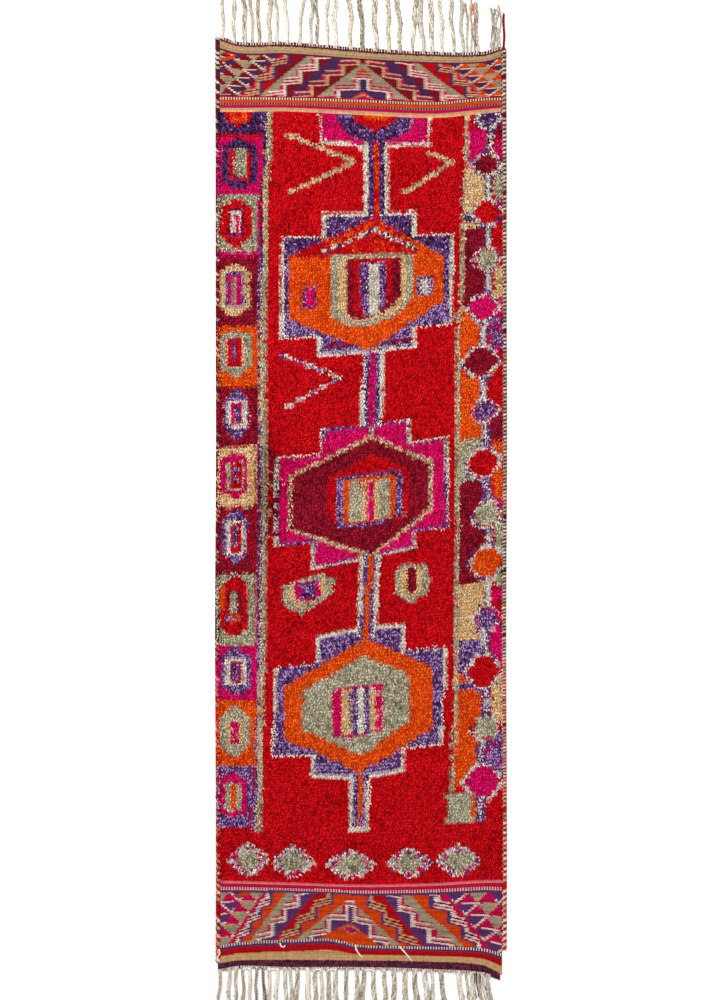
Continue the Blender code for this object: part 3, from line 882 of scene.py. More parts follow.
# Twined aubergine wool, dark, and painted nearly black in its hollows and undersides as painted shade.
twined_wool = wool_material("twined_aubergine_wool", (AUBERGINE_HEX, "1A0810", "6E2E40"), 1.2, 0.4)
# Undyed warp: greyish ivory, plied, soft and a little dirty.
WARP_HEX = ("9C9282", "524838", "CCC4B8")
warp_wool = wool_material("undyed_warp_wool", WARP_HEX, 1.0, 0.35, mottle=(4.5, 1.3))


# Mesh helpers.


def mesh_object(name, points, faces, material, smooth=True):
    """points in millimetres, faces a list of arrays with the same number of corners each."""
    mesh = bpy.data.meshes.new(name)
    sizes = np.concatenate([np.full(len(part), part.shape[1]) for part in faces])
    loops = np.concatenate([part.ravel() for part in faces])
    starts = np.concatenate(([0], np.cumsum(sizes)[:-1]))
    mesh.vertices.add(len(points))
    mesh.vertices.foreach_set("co", (np.asarray(points) * MM).ravel())
    mesh.loops.add(len(loops))
    mesh.loops.foreach_set("vertex_index", loops.astype(np.int32))
    mesh.polygons.add(len(sizes))
    mesh.polygons.foreach_set("loop_start", starts.astype(np.int32))
    mesh.polygons.foreach_set("loop_total", sizes.astype(np.int32))
    mesh.polygons.foreach_set("use_smooth", np.full(len(sizes), smooth))
    mesh.update(calc_edges=True)
    mesh.validate()
    mesh.materials.append(material)
    obj = bpy.data.objects.new(name, mesh)
    bpy.context.scene.collection.objects.link(obj)
    return obj


def set_point_value(obj, name, values):
    layer = obj.data.attributes.new(name, "FLOAT", "POINT")
    layer.data.foreach_set("value", np.asarray(values, np.float32).ravel())


def set_corner_color(obj, name, face_colors):
    """One colour to each face, kept on its corners so that neighbours don't run together."""
    mesh = obj.data
    sizes = np.empty(len(mesh.polygons), np.int32)
    mesh.polygons.foreach_get("loop_total", sizes)
    layer = mesh.color_attributes.new(name, "FLOAT_COLOR", "CORNER")
    layer.data.foreach_set("color", np.repeat(face_colors, sizes, axis=0).astype(np.float32).ravel())


def set_plan_uv(obj):
    """A map of the piece from above, for a texture."""
    mesh = obj.data
    points = np.empty(len(mesh.vertices) * 3, np.float32)
    mesh.vertices.foreach_get("co", points)
    points = points.reshape(-1, 3)[:, :2]
    low, high = points.min(axis=0), points.max(axis=0)
    corners = np.empty(len(mesh.loops), np.int32)
    mesh.loops.foreach_get("vertex_index", corners)
    layer = mesh.uv_layers.new(name="OFBake")
    layer.data.foreach_set("uv", ((points - low) / (high - low))[corners].astype(np.float32).ravel())


def quads(*corners):
    """Four-sided faces, from an array of point numbers for each of their corners."""
    return np.stack(corners, -1).reshape(-1, 4)


def slab(name, x, y, z_top, z_floor, material, colors, fine_back=False):
    """A closed sheet: grids of x, y and top height, over a flat underside that is one face, or as
    fine and as coloured as the top."""
    rows, columns = x.shape
    top = np.stack([x, y, z_top], axis=-1).reshape(-1, 3)
    index = np.arange(rows * columns).reshape(rows, columns)
    face = quads(index[:-1, :-1], index[1:, :-1], index[1:, 1:], index[:-1, 1:])
    rim = np.concatenate([index[0, :-1], index[:-1, -1], index[-1, :0:-1], index[:0:-1, 0]])
    if fine_back:
        floor, under = top.copy(), index + rows * columns
        back = quads(under[:-1, :-1], under[:-1, 1:], under[1:, 1:], under[1:, :-1])
        low_rim = rim + rows * columns
    else:
        floor = top[rim]
        low_rim = np.arange(len(rim)) + rows * columns
        back = low_rim[None, :]
    floor[:, 2] = z_floor
    walls = quads(rim, np.roll(rim, -1), np.roll(low_rim, -1), low_rim)
    obj = mesh_object(name, np.concatenate([top, floor]), [face, back, walls], material)
    colors = colors.reshape(-1, 4)
    back_colors = colors if fine_back else colors[:1]
    wall_colors = np.tile(colors[:1], (len(walls), 1))
    set_corner_color(obj, "yarn", np.concatenate([colors, back_colors, wall_colors]))
    return obj


def in_chart(x):
    """A place across in millimetres, as pixels of the photo."""
    return x / PIXEL_MM + MID_X


random = np.random.default_rng(11)


def keep(piece):
    """Notes a finished piece: it lies on the runner's one body."""
    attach(piece, "root")
    return piece


# Foundation of the cloth, seen from below and between the knots.


def make_foundation():
    """The ground, two knots to a face, in dulled colours of the knots above."""
    columns = KNOT_COLUMNS // 2 + 1
    x = np.linspace(-CLOTH_HALF - 0.3, CLOTH_HALF + 0.3, columns)
    rows = np.concatenate([
        np.linspace(CLOTH_TOP, PILE_TOP, 12)[:-1],
        np.linspace(PILE_TOP, PILE_BOTTOM, KNOT_ROWS // 2 + 1),
        np.linspace(PILE_BOTTOM, CLOTH_BOTTOM, 14)[1:],
    ])
    y = lie(x, rows)
    place = x[None, :] + side_wave(y)
    in_pile = (rows >= PILE_TOP) & (rows <= PILE_BOTTOM)
    height = np.where(in_pile, GROUND_THICK, FLAT_THICK)[:, None] * np.ones((1, columns))
    middle_x = in_chart((x[:-1] + x[1:]) / 2)
    middle_row = (rows[:-1] + rows[1:]) / 2
    yarn = pile_chart(middle_x, middle_row).yarn
    top_part = middle_row < PILE_TOP
    low_part = middle_row > PILE_BOTTOM
    yarn[top_part] = top_flatweave_chart(middle_x, middle_row[top_part]).yarn
    yarn[low_part] = bottom_flatweave_chart(middle_x, middle_row[low_part]).yarn
    colors = YARN_LINEAR[yarn] * np.array([0.8, 0.8, 0.8, 1.0])
    base = slab("cloth_foundation", place, y, height, 0.0, knot_back_wool, colors, fine_back=True)
    set_point_value(base, "shade", random.uniform(0.0, 0.5, len(base.data.vertices)))
    return keep(base)


# Flat-woven ends.


def make_flatweave(name, top_row, bottom_row, draw):
    """Weft-faced weave: each weft swells over one warp and dips behind the next. Pale yarn is the
    least worn, and the violet at the top end is nearly black."""
    warps = 210
    wefts = 110
    ribs = 2 * warps + 1
    x = np.linspace(-CLOTH_HALF - 0.2, CLOTH_HALF + 0.2, ribs)
    rows = np.linspace(top_row, bottom_row, wefts + 1)
    y = lie(x, rows)
    y[0] -= 0.4
    y[-1] += 0.4
    place = x[None, :] + side_wave(y)
    rib = np.cos(np.arange(ribs) * math.pi)[None, :]
    lift = np.cos(np.arange(wefts + 1) * math.pi)[:, None]
    height = 3.1 + 0.32 * rib + 0.24 * lift * np.roll(rib, 1, axis=1)
    height += random.normal(0, 0.07, height.shape)
    warp_x = (x[:-1] + x[1:]) / 2
    warp_x = (np.floor((warp_x + CLOTH_HALF) / WARP_MM) + 0.5) * WARP_MM - CLOTH_HALF
    middle_row = (rows[:-1] + rows[1:]) / 2
    yarn = draw(in_chart(warp_x), middle_row).yarn
    wear = random.uniform(0.36, 0.58, yarn.shape + (1,)) * np.array([1.0, 0.94, 0.9, 0.0])
    wear[yarn == IVORY] *= 1.3
    wear[(yarn == VIOLET) & (middle_row < PILE_TOP)[:, None]] *= 0.62
    colors = YARN_LINEAR[yarn] * wear + (0, 0, 0, 1)
    piece = slab(name, place, y, height, FLAT_THICK + 0.1, flatweave_wool, colors)
    passes = np.repeat(random.uniform(0.0, 0.8, wefts + 1), ribs)
    shade = np.full(len(piece.data.vertices), 0.5)
    shade[: len(passes)] = passes + random.uniform(0, 0.5, len(passes))
    set_point_value(piece, "shade", shade)
    # Painted shade: the lower the weave lies, in the hollows between ribs, the darker it is painted.
    painted_shade_by_height = np.zeros(len(shade))
    painted_shade_by_height[: len(passes)] = np.clip((height - 2.4) / 1.3, 0, 1).ravel()
    set_point_value(piece, "tip", painted_shade_by_height)
    set_plan_uv(piece)
    return keep(piece)


# Knotted pile.


# A tuft's two rings of three points: height, half width, half depth, lean down the cloth, and how much
# of its bend it has there. Then where its tip stands, and the patch of the piece's map that a tuft
# takes: width and length in metres.
TUFT_RINGS = ((0.0, 2.1, 2.6, 0.0, 0.0), (4.8, 2.35, 2.9, -2.5, 0.3))
TUFT_TIP = (1.3, -8.8, 7.4)
TUFT_MAP = (0.0038, 0.0082)
# Width and length in metres that the piece's map spans.
MAP_WIDTH, MAP_LENGTH = 0.96, 2.6


def make_tuft(bend):
    """One cut end of a knot: a three-sided tuft that leans down the cloth and bends to one side."""
    bm = bmesh.new()
    rings = []
    for z, wide, deep, lean, aside in TUFT_RINGS:
        ring = []
        for i in range(3):
            angle = math.pi * (0.5 + 2 * i / 3)
            corner = Vector((aside * bend + wide * math.cos(angle), lean + deep * math.sin(angle), z))
            ring.append(bm.verts.new(corner * MM))
        rings.append(ring)
    tip = bm.verts.new(Vector((TUFT_TIP[0] * bend, *TUFT_TIP[1:])) * MM)
    for i in range(3):
        j = (i + 1) % 3
        bm.faces.new((rings[0][i], rings[0][j], rings[1][j], rings[1][i]))
        bm.faces.new((rings[1][i], rings[1][j], tip))
    bm.faces.new(rings[0][::-1])
    layer = bm.loops.layers.uv.new("OFBake")
    for face in bm.faces:
        for loop in face.loops:
            across = 0.5 + math.atan2(loop.vert.co.x, loop.vert.co.y + 0.002) / (2.2 * math.pi)
            loop[layer].uv = (across, 0.1 + 0.8 * loop.vert.co.z / TUFT_MAP[1])
        face.smooth = True
    mesh = bpy.data.meshes.new("tuft")
    bm.to_mesh(mesh)
    bm.free()
    # Painted shade: tip is 0 at the root, so the root of each tuft is painted darker.
    layer = mesh.attributes.new("tip", "FLOAT", "POINT")
    layer.data.foreach_set("value", [0.0, 0.0, 0.0, 0.65, 0.65, 0.65, 1.0])
    return bpy.data.objects.new("tuft", mesh)


def pile_tree():
    """Geometry Nodes that stand one tuft on every point, each turned, sized and shaded a little
    apart from the next, and map every tuft to its own patch of the texture."""
    tree = bpy.data.node_groups.new("knotted_pile", "GeometryNodeTree")
    face = tree.interface
    face.new_socket("Knots", in_out="INPUT", socket_type="NodeSocketGeometry")
    for name, kind in (
        ("Tufts", "Collection"), ("Yarn", "Material"), ("Turn", "Float"), ("Tilt", "Float"),
        ("Size spread", "Float"), ("Seed", "Int"),
    ):
        face.new_socket(name, in_out="INPUT", socket_type="NodeSocket" + kind)
    face.new_socket("Pile", in_out="OUTPUT", socket_type="NodeSocketGeometry")
    given = add_node(tree, "NodeGroupInput")
    tufts = add_node(
        tree, "GeometryNodeCollectionInfo", None,
        {"Collection": (given, "Tufts"), "Separate Children": True, "Reset Children": True},
    )
    seed = (given, "Seed")
    which = add_node(tree, "FunctionNodeRandomValue", {"data_type": "INT"}, {4: 0, 5: 2, "Seed": seed})

    def math_node(operation, first, second):
        node = add_node(tree, "ShaderNodeMath", {"operation": operation}, {0: first, 1: second})
        return (node, "Value")

    def vector(x, y, z):
        return (add_node(tree, "ShaderNodeCombineXYZ", None, {"X": x, "Y": y, "Z": z}), "Vector")

    def between(low, high):
        limits = {"Min": low, "Max": high, "Seed": seed}
        node = add_node(tree, "FunctionNodeRandomValue", {"data_type": "FLOAT_VECTOR"}, limits)
        return (node, "Value")

    turn, tilt, size_spread = (given, "Turn"), (given, "Tilt"), (given, "Size spread")
    turn_back = math_node("MULTIPLY", turn, -1.0)
    tilt_back = math_node("MULTIPLY", tilt, -1.0)
    turned = between(vector(tilt_back, tilt_back, turn_back), vector(tilt, tilt, turn))
    size = between(math_node("SUBTRACT", 1.0, size_spread), math_node("ADD", 1.0, size_spread))
    stood = add_node(
        tree, "GeometryNodeInstanceOnPoints", None,
        {
            "Points": (given, "Knots"), "Instance": (tufts, "Instances"), "Pick Instance": True,
            "Instance Index": (which, 2), "Rotation": turned, "Scale": size,
        },
    )
    shade = add_node(
        tree, "FunctionNodeRandomValue", {"data_type": "FLOAT"}, {2: 0.0, 3: 1.0, "Seed": 5}
    )
    shaded = add_node(
        tree, "GeometryNodeStoreNamedAttribute", {"data_type": "FLOAT", "domain": "INSTANCE"},
        {"Geometry": (stood, "Instances"), "Name": "shade", "Value": (shade, 1)},
    )
    place = add_node(tree, "GeometryNodeInputPosition")
    spotted = add_node(
        tree, "GeometryNodeStoreNamedAttribute", {"data_type": "FLOAT_VECTOR", "domain": "INSTANCE"},
        {"Geometry": (shaded, "Geometry"), "Name": "spot", "Value": (place, "Position")},
    )
    real = add_node(tree, "GeometryNodeRealizeInstances", None, {"Geometry": (spotted, "Geometry")})

    def named(name):
        settings = {"data_type": "FLOAT_VECTOR"}
        node = add_node(tree, "GeometryNodeInputNamedAttribute", settings, {"Name": name})
        return (node, "Attribute")

    def vector_math(operation, *terms):
        links = dict(enumerate(terms))
        return (add_node(tree, "ShaderNodeVectorMath", {"operation": operation}, links), "Vector")

    cell_size = (TUFT_MAP[0] / MAP_WIDTH, TUFT_MAP[1] / MAP_LENGTH, 0.0)
    cell = vector_math("MULTIPLY", named("OFBake"), cell_size)
    plan = vector_math("MULTIPLY_ADD", named("spot"), (1 / MAP_WIDTH, 1 / MAP_LENGTH, 0.0), cell)
    centred = vector_math("ADD", plan, (0.49, 0.495, 0.0))
    mapped = add_node(
        tree, "GeometryNodeStoreNamedAttribute", {"data_type": "FLOAT2", "domain": "CORNER"},
        {"Geometry": (real, "Geometry"), "Name": "OFBake", "Value": centred},
    )
    dyed = add_node(
        tree, "GeometryNodeSetMaterial", None,
        {"Geometry": (mapped, "Geometry"), "Material": (given, "Yarn")},
    )
    add_node(tree, "NodeGroupOutput", None, {"Pile": (dyed, "Geometry")})
    return tree


def dye_lots(across, down, yarn):
    """How far each knot's colour is from the usual: slow bands across the rows where a lot of yarn ran
    out, soft clouds, knots of every tone in the violet, and a worn brown patch by the left line. The
    violet is darkest at the top left and palest below, and the sage is darker at the upper left."""
    bands = np.interp(down, np.linspace(90, 900, 34), random.normal(0.0, 0.045, 34))
    clouds = 0.05 * np.sin(across / 13.0 + 2.1 * np.sin(down / 31.0))
    clouds *= np.sin(down / 17.0 + across / 40.0)
    knot = random.normal(0.0, 0.085, yarn.shape)
    violet = yarn == VIOLET
    knot[violet] = random.normal(0.04, 0.2, violet.sum())
    knot[violet & (down < 250)] -= 0.26
    knot[violet & (down > 620)] += 0.07
    knot[violet & (down < 250) & (across < 262)] -= 0.3
    knot[(yarn == SAGE) & (down < 420) & (across < 270)] -= 0.12
    worn = np.exp(-(((across - WORN_X) / WORN_HALF) ** 2 + ((down - WORN_Y) / 46) ** 2))
    return bands + clouds + knot - 0.75 * worn


def knot_places():
    """Two cut ends to a knot: places in millimetres, the knot's yarn and its dye lot. A few ends are
    painted darker, as painted shade for the dark gaps between tufts."""
    left, right = -CLOTH_HALF - LEFT_OVERHANG, CLOTH_HALF + RIGHT_OVERHANG
    x = left + (right - left) * (np.arange(KNOT_COLUMNS) + 0.5) / KNOT_COLUMNS
    rows = PILE_TOP + 1.0 + (PILE_BOTTOM - PILE_TOP - 2.2) * (np.arange(KNOT_ROWS) + 0.5) / KNOT_ROWS
    yarn = pile_chart(in_chart(x), rows).yarn
    across, down = np.meshgrid(in_chart(x), rows)
    lot = dye_lots(across, down, yarn).ravel()
    spacing = x[1] - x[0]
    places = []
    for share in KNOT_ENDS:
        at = x + share * spacing
        y = lie(at, rows) + 3.0 + random.normal(0, 1.9, yarn.shape)
        aside = at[None, :] + side_wave(y) + random.normal(0, 1.1, yarn.shape)
        height = GROUND_THICK - 0.4 + random.uniform(-0.9, 0.3, yarn.shape)
        height += 3.0 * np.clip((-CLOTH_HALF - at) / 3.0, 0, 1)
        places.append(np.stack([aside, y, height], -1).reshape(-1, 3))
    lot = np.tile(lot, 2)
    yarns = np.tile(yarn.ravel(), 2)
    # Painted shade: these few ends are darkened to stand for gaps between tufts; they stand no deeper.
    deep = random.random(len(lot)) < np.where(yarns == RED, 0.025, 0.06)
    return np.concatenate(places), yarns, lot - 0.45 * deep


def make_pile():
    """A piece for each yarn, or two for a yarn with too many knots for one."""
    tufts = bpy.data.collections.new("tufts")
    for bend in (-1.0, 0.2, 1.0):
        tufts.objects.link(make_tuft(bend))
    tree = pile_tree()
    sockets = {item.name: item.identifier for item in tree.interface.items_tree if item.in_out == "INPUT"}
    places, yarns, lots = knot_places()
    order = np.argsort(-places[:, 1], kind="stable")
    places, yarns, lots = places[order], yarns[order], lots[order]
    for yarn, name in enumerate(YARN_NAMES):
        mine = np.flatnonzero(yarns == yarn)
        parts = 2 if len(mine) * TUFT_TRIANGLES > PIECE_TRIANGLES else 1
        for part in range(parts):
            chosen = mine[len(mine) * part // parts : len(mine) * (part + 1) // parts]
            mesh = bpy.data.meshes.new("knots")
            mesh.vertices.add(len(chosen))
            mesh.vertices.foreach_set("co", (places[chosen] * MM).ravel())
            layer = mesh.attributes.new("lot", "FLOAT", "POINT")
            layer.data.foreach_set("value", lots[chosen].astype(np.float32))
            knots = bpy.data.objects.new("knots", mesh)
            bpy.context.scene.collection.objects.link(knots)
            modifier = knots.modifiers.new("pile", "NODES")
            modifier.node_group = tree
            values = {
                "Tufts": tufts, "Yarn": PILE_MATERIALS[yarn], "Turn": 1.0, "Tilt": 0.25,
                "Size spread": 0.28, "Seed": 20 + yarn,
            }
            for label, value in values.items():
                modifier[sockets[label]] = value
            graph = bpy.context.evaluated_depsgraph_get()
            made = bpy.data.meshes.new_from_object(knots.evaluated_get(graph), depsgraph=graph)
            label = "pile_" + name + ("_upper", "_lower")[part] if parts == 2 else "pile_" + name
            made.name = label
            piece = bpy.data.objects.new(label, made)
            bpy.context.scene.collection.objects.link(piece)
            bpy.data.objects.remove(knots)
            keep(piece)
    for tuft in list(tufts.objects):
        bpy.data.objects.remove(tuft)
    bpy.data.collections.remove(tufts)


# Overcast sides.


def make_selvedge(name, side, top, bottom, turns, pale_share, loose_from):
    """Edge cord wrapped in slanting turns of yarn: every other turn dark, the rest partly pale. turns
    gives the length of a turn in millimetres at some heights along the cloth, and pale_share, in the
    same form, how many of those other turns are pale. Dark turns are burgundy and aubergine above,
    and burgundy and red in the last third. Above loose_from the cord hangs free and is thinner."""
    ring_mm = 1.7
    ring_points = 6
    count = int((top - bottom) / ring_mm)
    y = np.linspace(top, bottom, count + 1)
    wound = np.cumsum(ring_mm / np.interp(y, *turns))[:, None]
    y = y[:, None]
    angle = (np.arange(ring_points) / ring_points * 2 * math.pi)[None, :]
    phase = wound + 0.6 * np.cos(angle) * side
    swell = 0.5 - 0.5 * np.cos(2 * math.pi * phase)
    free = np.clip((y - loose_from) / 6.0, 0, 1)
    half = (SELVEDGE_WIDTH / 2 - 0.4 + 1.2 * swell) * (1 - 0.5 * free)
    rise = (SELVEDGE_THICK / 2 - 0.8 + 0.8 * swell) * (1 - 0.4 * free)
    middle = side * (CLOTH_HALF + 0.3 + SELVEDGE_WIDTH / 2) + side_wave(y)
    taper = np.clip(np.minimum(top - y, y - bottom) / 10.0 + 0.55, 0, 1)
    x = middle + half * taper * np.cos(angle) + 1.2 * free * np.sin(y / 16.0)
    z = rise * (1 + taper * np.sin(angle))
    points = np.stack([x, np.broadcast_to(y, x.shape), z], -1).reshape(-1, 3)
    index = np.arange((count + 1) * ring_points).reshape(count + 1, ring_points)
    after = np.roll(index, -1, axis=1)
    walls = quads(index[:-1], after[:-1], after[1:], index[1:])
    caps = np.stack([index[0][::-1], index[-1]])
    turn = np.floor((phase[:-1] + phase[1:]) / 2).astype(int) + 1
    last = turn.max() + 1
    dark = np.where(
        np.arange(last) < 0.7 * last,
        random.choice([BURGUNDY, AUBERGINE, AUBERGINE], last), random.choice([BURGUNDY, RED, RED], last),
    )
    pale = random.choice([IVORY, SAGE], last)
    turn_y = np.interp(np.arange(last), wound[:, 0], y[:, 0])
    shows = (np.arange(last) % 2 == 1) & (random.random(last) < np.interp(turn_y, *pale_share))
    yarn = np.where(shows, pale, dark)[turn]
    yarn[np.broadcast_to(y[:-1] > loose_from, yarn.shape)] = BURGUNDY
    colors = YARN_LINEAR[yarn].reshape(-1, 4) * np.array([0.8, 0.76, 0.72, 1.0])
    piece = mesh_object(name, points, [walls, caps], overcast_wool)
    set_corner_color(piece, "yarn", np.concatenate([colors, np.tile(YARN_LINEAR[BURGUNDY], (2, 1))]))
    set_point_value(piece, "shade", random.uniform(0, 1, len(points)))
    # Painted shade: the grooves between turns, where the cord swells least, are painted darker.
    set_point_value(piece, "tip", np.broadcast_to(0.15 + 0.85 * swell, x.shape))
    return keep(piece)


# Strands.


def trail(x, y, z):
    """A path in millimetres from what it does across, along and up."""
    return np.stack([x, y, z], -1)


def tube(path, radii, sides, start_angle=0.0):
    """Points and faces of a closed tube along the path, an array of places in millimetres."""
    path = np.asarray(path, float)
    heading = np.gradient(path, axis=0)
    heading /= np.linalg.norm(heading, axis=1, keepdims=True) + 1e-9
    across = np.cross(heading, (0.0, 0.0, 1.0))
    across /= np.linalg.norm(across, axis=1, keepdims=True) + 1e-9
    up = np.cross(across, heading)
    angle = start_angle + np.arange(sides) / sides * 2 * math.pi
    ring = across[:, None] * np.cos(angle)[None, :, None] + up[:, None] * np.sin(angle)[None, :, None]
    points = path[:, None] + ring * np.asarray(radii)[:, None, None]
    points[..., 2] = np.maximum(points[..., 2], 0.0)
    index = np.arange(len(path) * sides).reshape(len(path), sides)
    after = np.roll(index, -1, axis=1)
    walls = quads(index[:-1], index[1:], after[1:], after[:-1])
    ends = np.stack([index[0], index[-1][::-1]])
    return points.reshape(-1, 3), walls, ends


class Strands:
    """Many tubes gathered into one piece."""

    def __init__(self):
        self.points, self.walls, self.ends, self.shades, self.underside_shades = [], [], [], [], []
        self.count = 0

    def add(self, path, radii, sides, shade, tip=1.0):
        points, walls, ends = tube(path, radii, sides)
        self.points.append(points)
        self.walls.append(walls + self.count)
        self.ends.append(ends + self.count)
        self.shades.append(np.repeat(np.broadcast_to(shade, len(path)), sides))
        # Painted shade: the underside of each strand is painted darker, and tip below 1 darkens the whole
        # strand.
        thick = np.repeat(radii, sides)
        height = (points[:, 2] - np.repeat(np.asarray(path)[:, 2], sides)) / thick
        self.underside_shades.append(tip * np.clip(0.62 + 0.38 * height, 0, 1))
        self.count += len(points)

    def finish(self, name, material):
        faces = [np.concatenate(self.walls)] + self.ends
        piece = mesh_object(name, np.concatenate(self.points), faces, material)
        set_point_value(piece, "shade", np.concatenate(self.shades))
        set_point_value(piece, "tip", np.concatenate(self.underside_shades))
        return keep(piece)


# Locks of warp, as in the part's source: root across the runner, width, drift of the tip, length.
TOP_LOCKS = (
    (-453, 9, 4, 176), (-416, 12, -2, 182), (-380, 13, -6, 180), (-356, 9, -4, 172),
    (-333, 11, -6, 178), (-298, 13, -2, 181), (-274, 10, -5, 184), (-241, 10, -7, 179),
    (-201, 11, 15, 186), (-163, 8, 0, 177), (-144, 10, -3, 182), (-111, 10, 0, 180),
    (-82, 13, -4, 185), (-34, 13, -4, 183), (5, 14, -7, 178), (51, 13, -7, 186),
    (92, 13, -4, 181), (128, 13, -6, 179), (167, 12, 14, 187), (205, 12, -12, 182),
    (234, 12, -6, 176), (265, 11, -4, 184), (303, 11, -9, 180), (334, 9, -8, 182),
    (349, 6, -4, 171), (360, 6, 0, 185), (371, 6, 3, 168), (384, 6, -8, 174),
    (427, 5, 3, 146), (436, 5, 2, 139), (445, 5, 1, 148), (454, 5, 0, 142),
)
BOTTOM_LOCKS = (
    (-462, 9, -5, 168), (-430, 10, -6, 171), (-409, 10, -5, 176), (-388, 9, 2, 170),
    (-365, 9, 3, 178), (-342, 8, -4, 165), (-321, 8, 5, 174), (-302, 11, 3, 180),
    (-274, 11, -3, 176), (-249, 11, 2, 172), (-231, 9, 4, 181), (-209, 13, -4, 177),
    (-174, 13, 4, 174), (-151, 12, -2, 180), (-131, 10, 3, 173), (-108, 12, 10, 178),
    (-84, 13, 3, 182), (-48, 12, -9, 174), (-14, 12, -4, 179), (9, 13, -6, 176),
    (40, 13, 4, 183), (75, 13, 3, 177), (107, 14, 2, 180), (143, 15, 5, 174),
    (176, 14, 7, 181), (208, 15, 12, 178), (232, 9, 10, 168), (262, 14, 22, 183),
    (320, 15, 15, 179), (344, 8, 14, 170), (363, 13, 16, 176), (384, 10, 20, 172),
    (397, 9, 24, 178), (408, 5, 22, 166), (417, 5, 26, 160),
)
# How thick a lock is, at how many places it is shaped, and how many stray fibres it carries.
LOCK_THICK = 6.0
LOCK_STATIONS = 17
LOCK_HAIRS = 6
# How far the twining at the top reaches past the cloth, which is where its fringe starts.
TOP_TWINING_REACH = 7.3
# Neighbouring locks at the low end that are one cord bent over: their numbers in the row.
LOW_ARCHES = ((3, 4), (7, 8), (13, 14), (15, 16), (19, 20))


def end_line(which, x):
    """Y of the cloth's end, or of the twined band's far edge, at x."""
    lines = {
        "top": (1520.0, 1500.0, 1500.0, 1481.0, 1468.0, 1468.0, 1486.0),
        "bottom": (-1505.0, -1496.0, -1494.0, -1496.0, -1500.0, -1511.0, -1543.0),
        "band": (-1527.0, -1516.0, -1520.0, -1520.0, -1527.0, -1537.0, -1560.0),
    }
    return along(LIE_COLUMNS, lines[which], np.asarray(x, float))


def lock_sway(k, t):
    """How far lock number k swings aside, at a share t of its length."""
    return 3.2 * np.sin(2.5 * math.pi * t + 1.7 * k) * np.minimum(1.0, 2 * t)


def make_fringe(name, locks, forward, root_line, arches, tick_mm):
    """Each lock is soft plies twisted together that open towards the tip, with stray fibres about it.
    Short warp ends stand between the locks, one to tick_mm, and an arch joins two of them. forward
    is 1 for the top end and -1 for the low end."""
    strands = Strands()
    t = np.linspace(0.0, 1.0, LOCK_STATIONS)
    for k, (root, width, drift_mm, length) in enumerate(locks):
        middle = root + float(side_wave(root_line(root)))
        sway = lock_sway(k, t)
        sway += random.uniform(0.8, 2.4) * np.sin(9.5 * t + random.uniform(0, 6.28)) * t
        x = middle + drift_mm * t * t * (3 - 2 * t) + sway
        y = float(root_line(root)) + forward * (length * t - 1.0)
        plies = 3 if width > 7 else 2
        thick = width / 1.65
        parting = random.uniform(0.3, 1.1)
        spin = random.uniform(0, 6.28)
        lock_shade = random.uniform(-0.35, 0.1)
        for ply in range(plies):
            turn = spin + 2 * math.pi * (ply / plies + 2.6 * t)
            out = (width - thick * 0.6) / 2 * (1 + parting * t**3)
            rise = LOCK_THICK / 2 + (LOCK_THICK / 2 - thick * 0.25) * np.sin(turn)
            path = trail(x + out * np.cos(turn), y, rise)
            radii = thick / 2 * (1 - 0.25 * t) * (1 + 0.12 * np.sin(21 * t + 2 * ply + k))
            strands.add(path, radii, 5, lock_shade + random.uniform(0, 0.5))
        for _ in range(LOCK_HAIRS):
            aim = random.uniform(-1, 1)
            wave = 2.0 * np.sin(random.uniform(6, 12) * t + 6 * aim)
            aside = x + width * aim * (0.4 + 0.5 * t) + wave * t
            path = trail(aside, y, 1.4 + 4.0 * np.sin(2.6 * t + aim) ** 2)
            strands.add(path, 0.9 - 0.4 * t, 3, random.uniform(-0.3, 0.6))
        for share in random.uniform(0.45, 0.85, 2):
            at = int(share * (LOCK_STATIONS - 1))
            side = random.choice([-1.0, 1.0])
            s = np.linspace(0, 1, 4)
            aside = x[at] + side * (width / 2 - 1.0 + 6.0 * s)
            path = trail(aside, y[at] + forward * 9.0 * s, 4.6 - 1.5 * s)
            strands.add(path, 1.7 - 0.9 * s, 4, random.uniform(-0.2, 0.4))
    for x in np.arange(locks[0][0] - 6.0, locks[-1][0] + 6.0, tick_mm):
        start = x + random.normal(0, 0.7)
        length = random.uniform(8.0, 16.0)
        s = np.linspace(0, 1, 4)
        aside = start + random.normal(0, 1.5) * s
        path = trail(aside, float(root_line(start)) + forward * (length * s - 4.0), 6.6 - 3.0 * s)
        strands.add(path, 1.9 - 0.9 * s, 4, random.uniform(0.1, 0.7))
    for first, second in arches:
        left, right = locks[first][0], locks[second][0]
        turn = np.linspace(0, math.pi, 9)
        middle, half = (left + right) / 2, (right - left) / 2
        y = float(root_line(middle)) + forward * (12.0 - 8.5 * np.sin(turn))
        path = trail(middle - half * np.cos(turn), y, np.full(9, 5.0))
        strands.add(path, np.full(9, 3.0), 6, 0.5)
    return strands.finish(name, warp_wool)


# Loose white yarn ends on the bottom end, and a tuft of orange fluff in the top fringe: places in
# pixels of the photo, from root to tip, and the number of the fluff's hairs.
WHITE_ENDS = (
    ((219, 949), (220, 953), (217.5, 957), (217, 961)),
    ((355.5, 944.5), (356, 949), (359, 954), (363, 958)),
    ((399.5, 946.5), (403, 950), (408, 956), (412, 961)),
    ((280, 943), (281, 946), (284, 947), (285, 945)),
)
ORANGE_FLUFF = ((476, 46), (474, 30), (476, 14), (473, 4))
FLUFF_HAIRS = 22


def pixel_path(points, count):
    """Evenly spaced places along a path given in pixels of the photo, in millimetres."""
    places = np.array(points, float)
    s = np.linspace(0, len(places) - 1, count)
    x = np.interp(s, np.arange(len(places)), places[:, 0])
    y = np.interp(s, np.arange(len(places)), places[:, 1])
    return (x - MID_X) * PIXEL_MM, (MID_Y - y) * PIXEL_MM


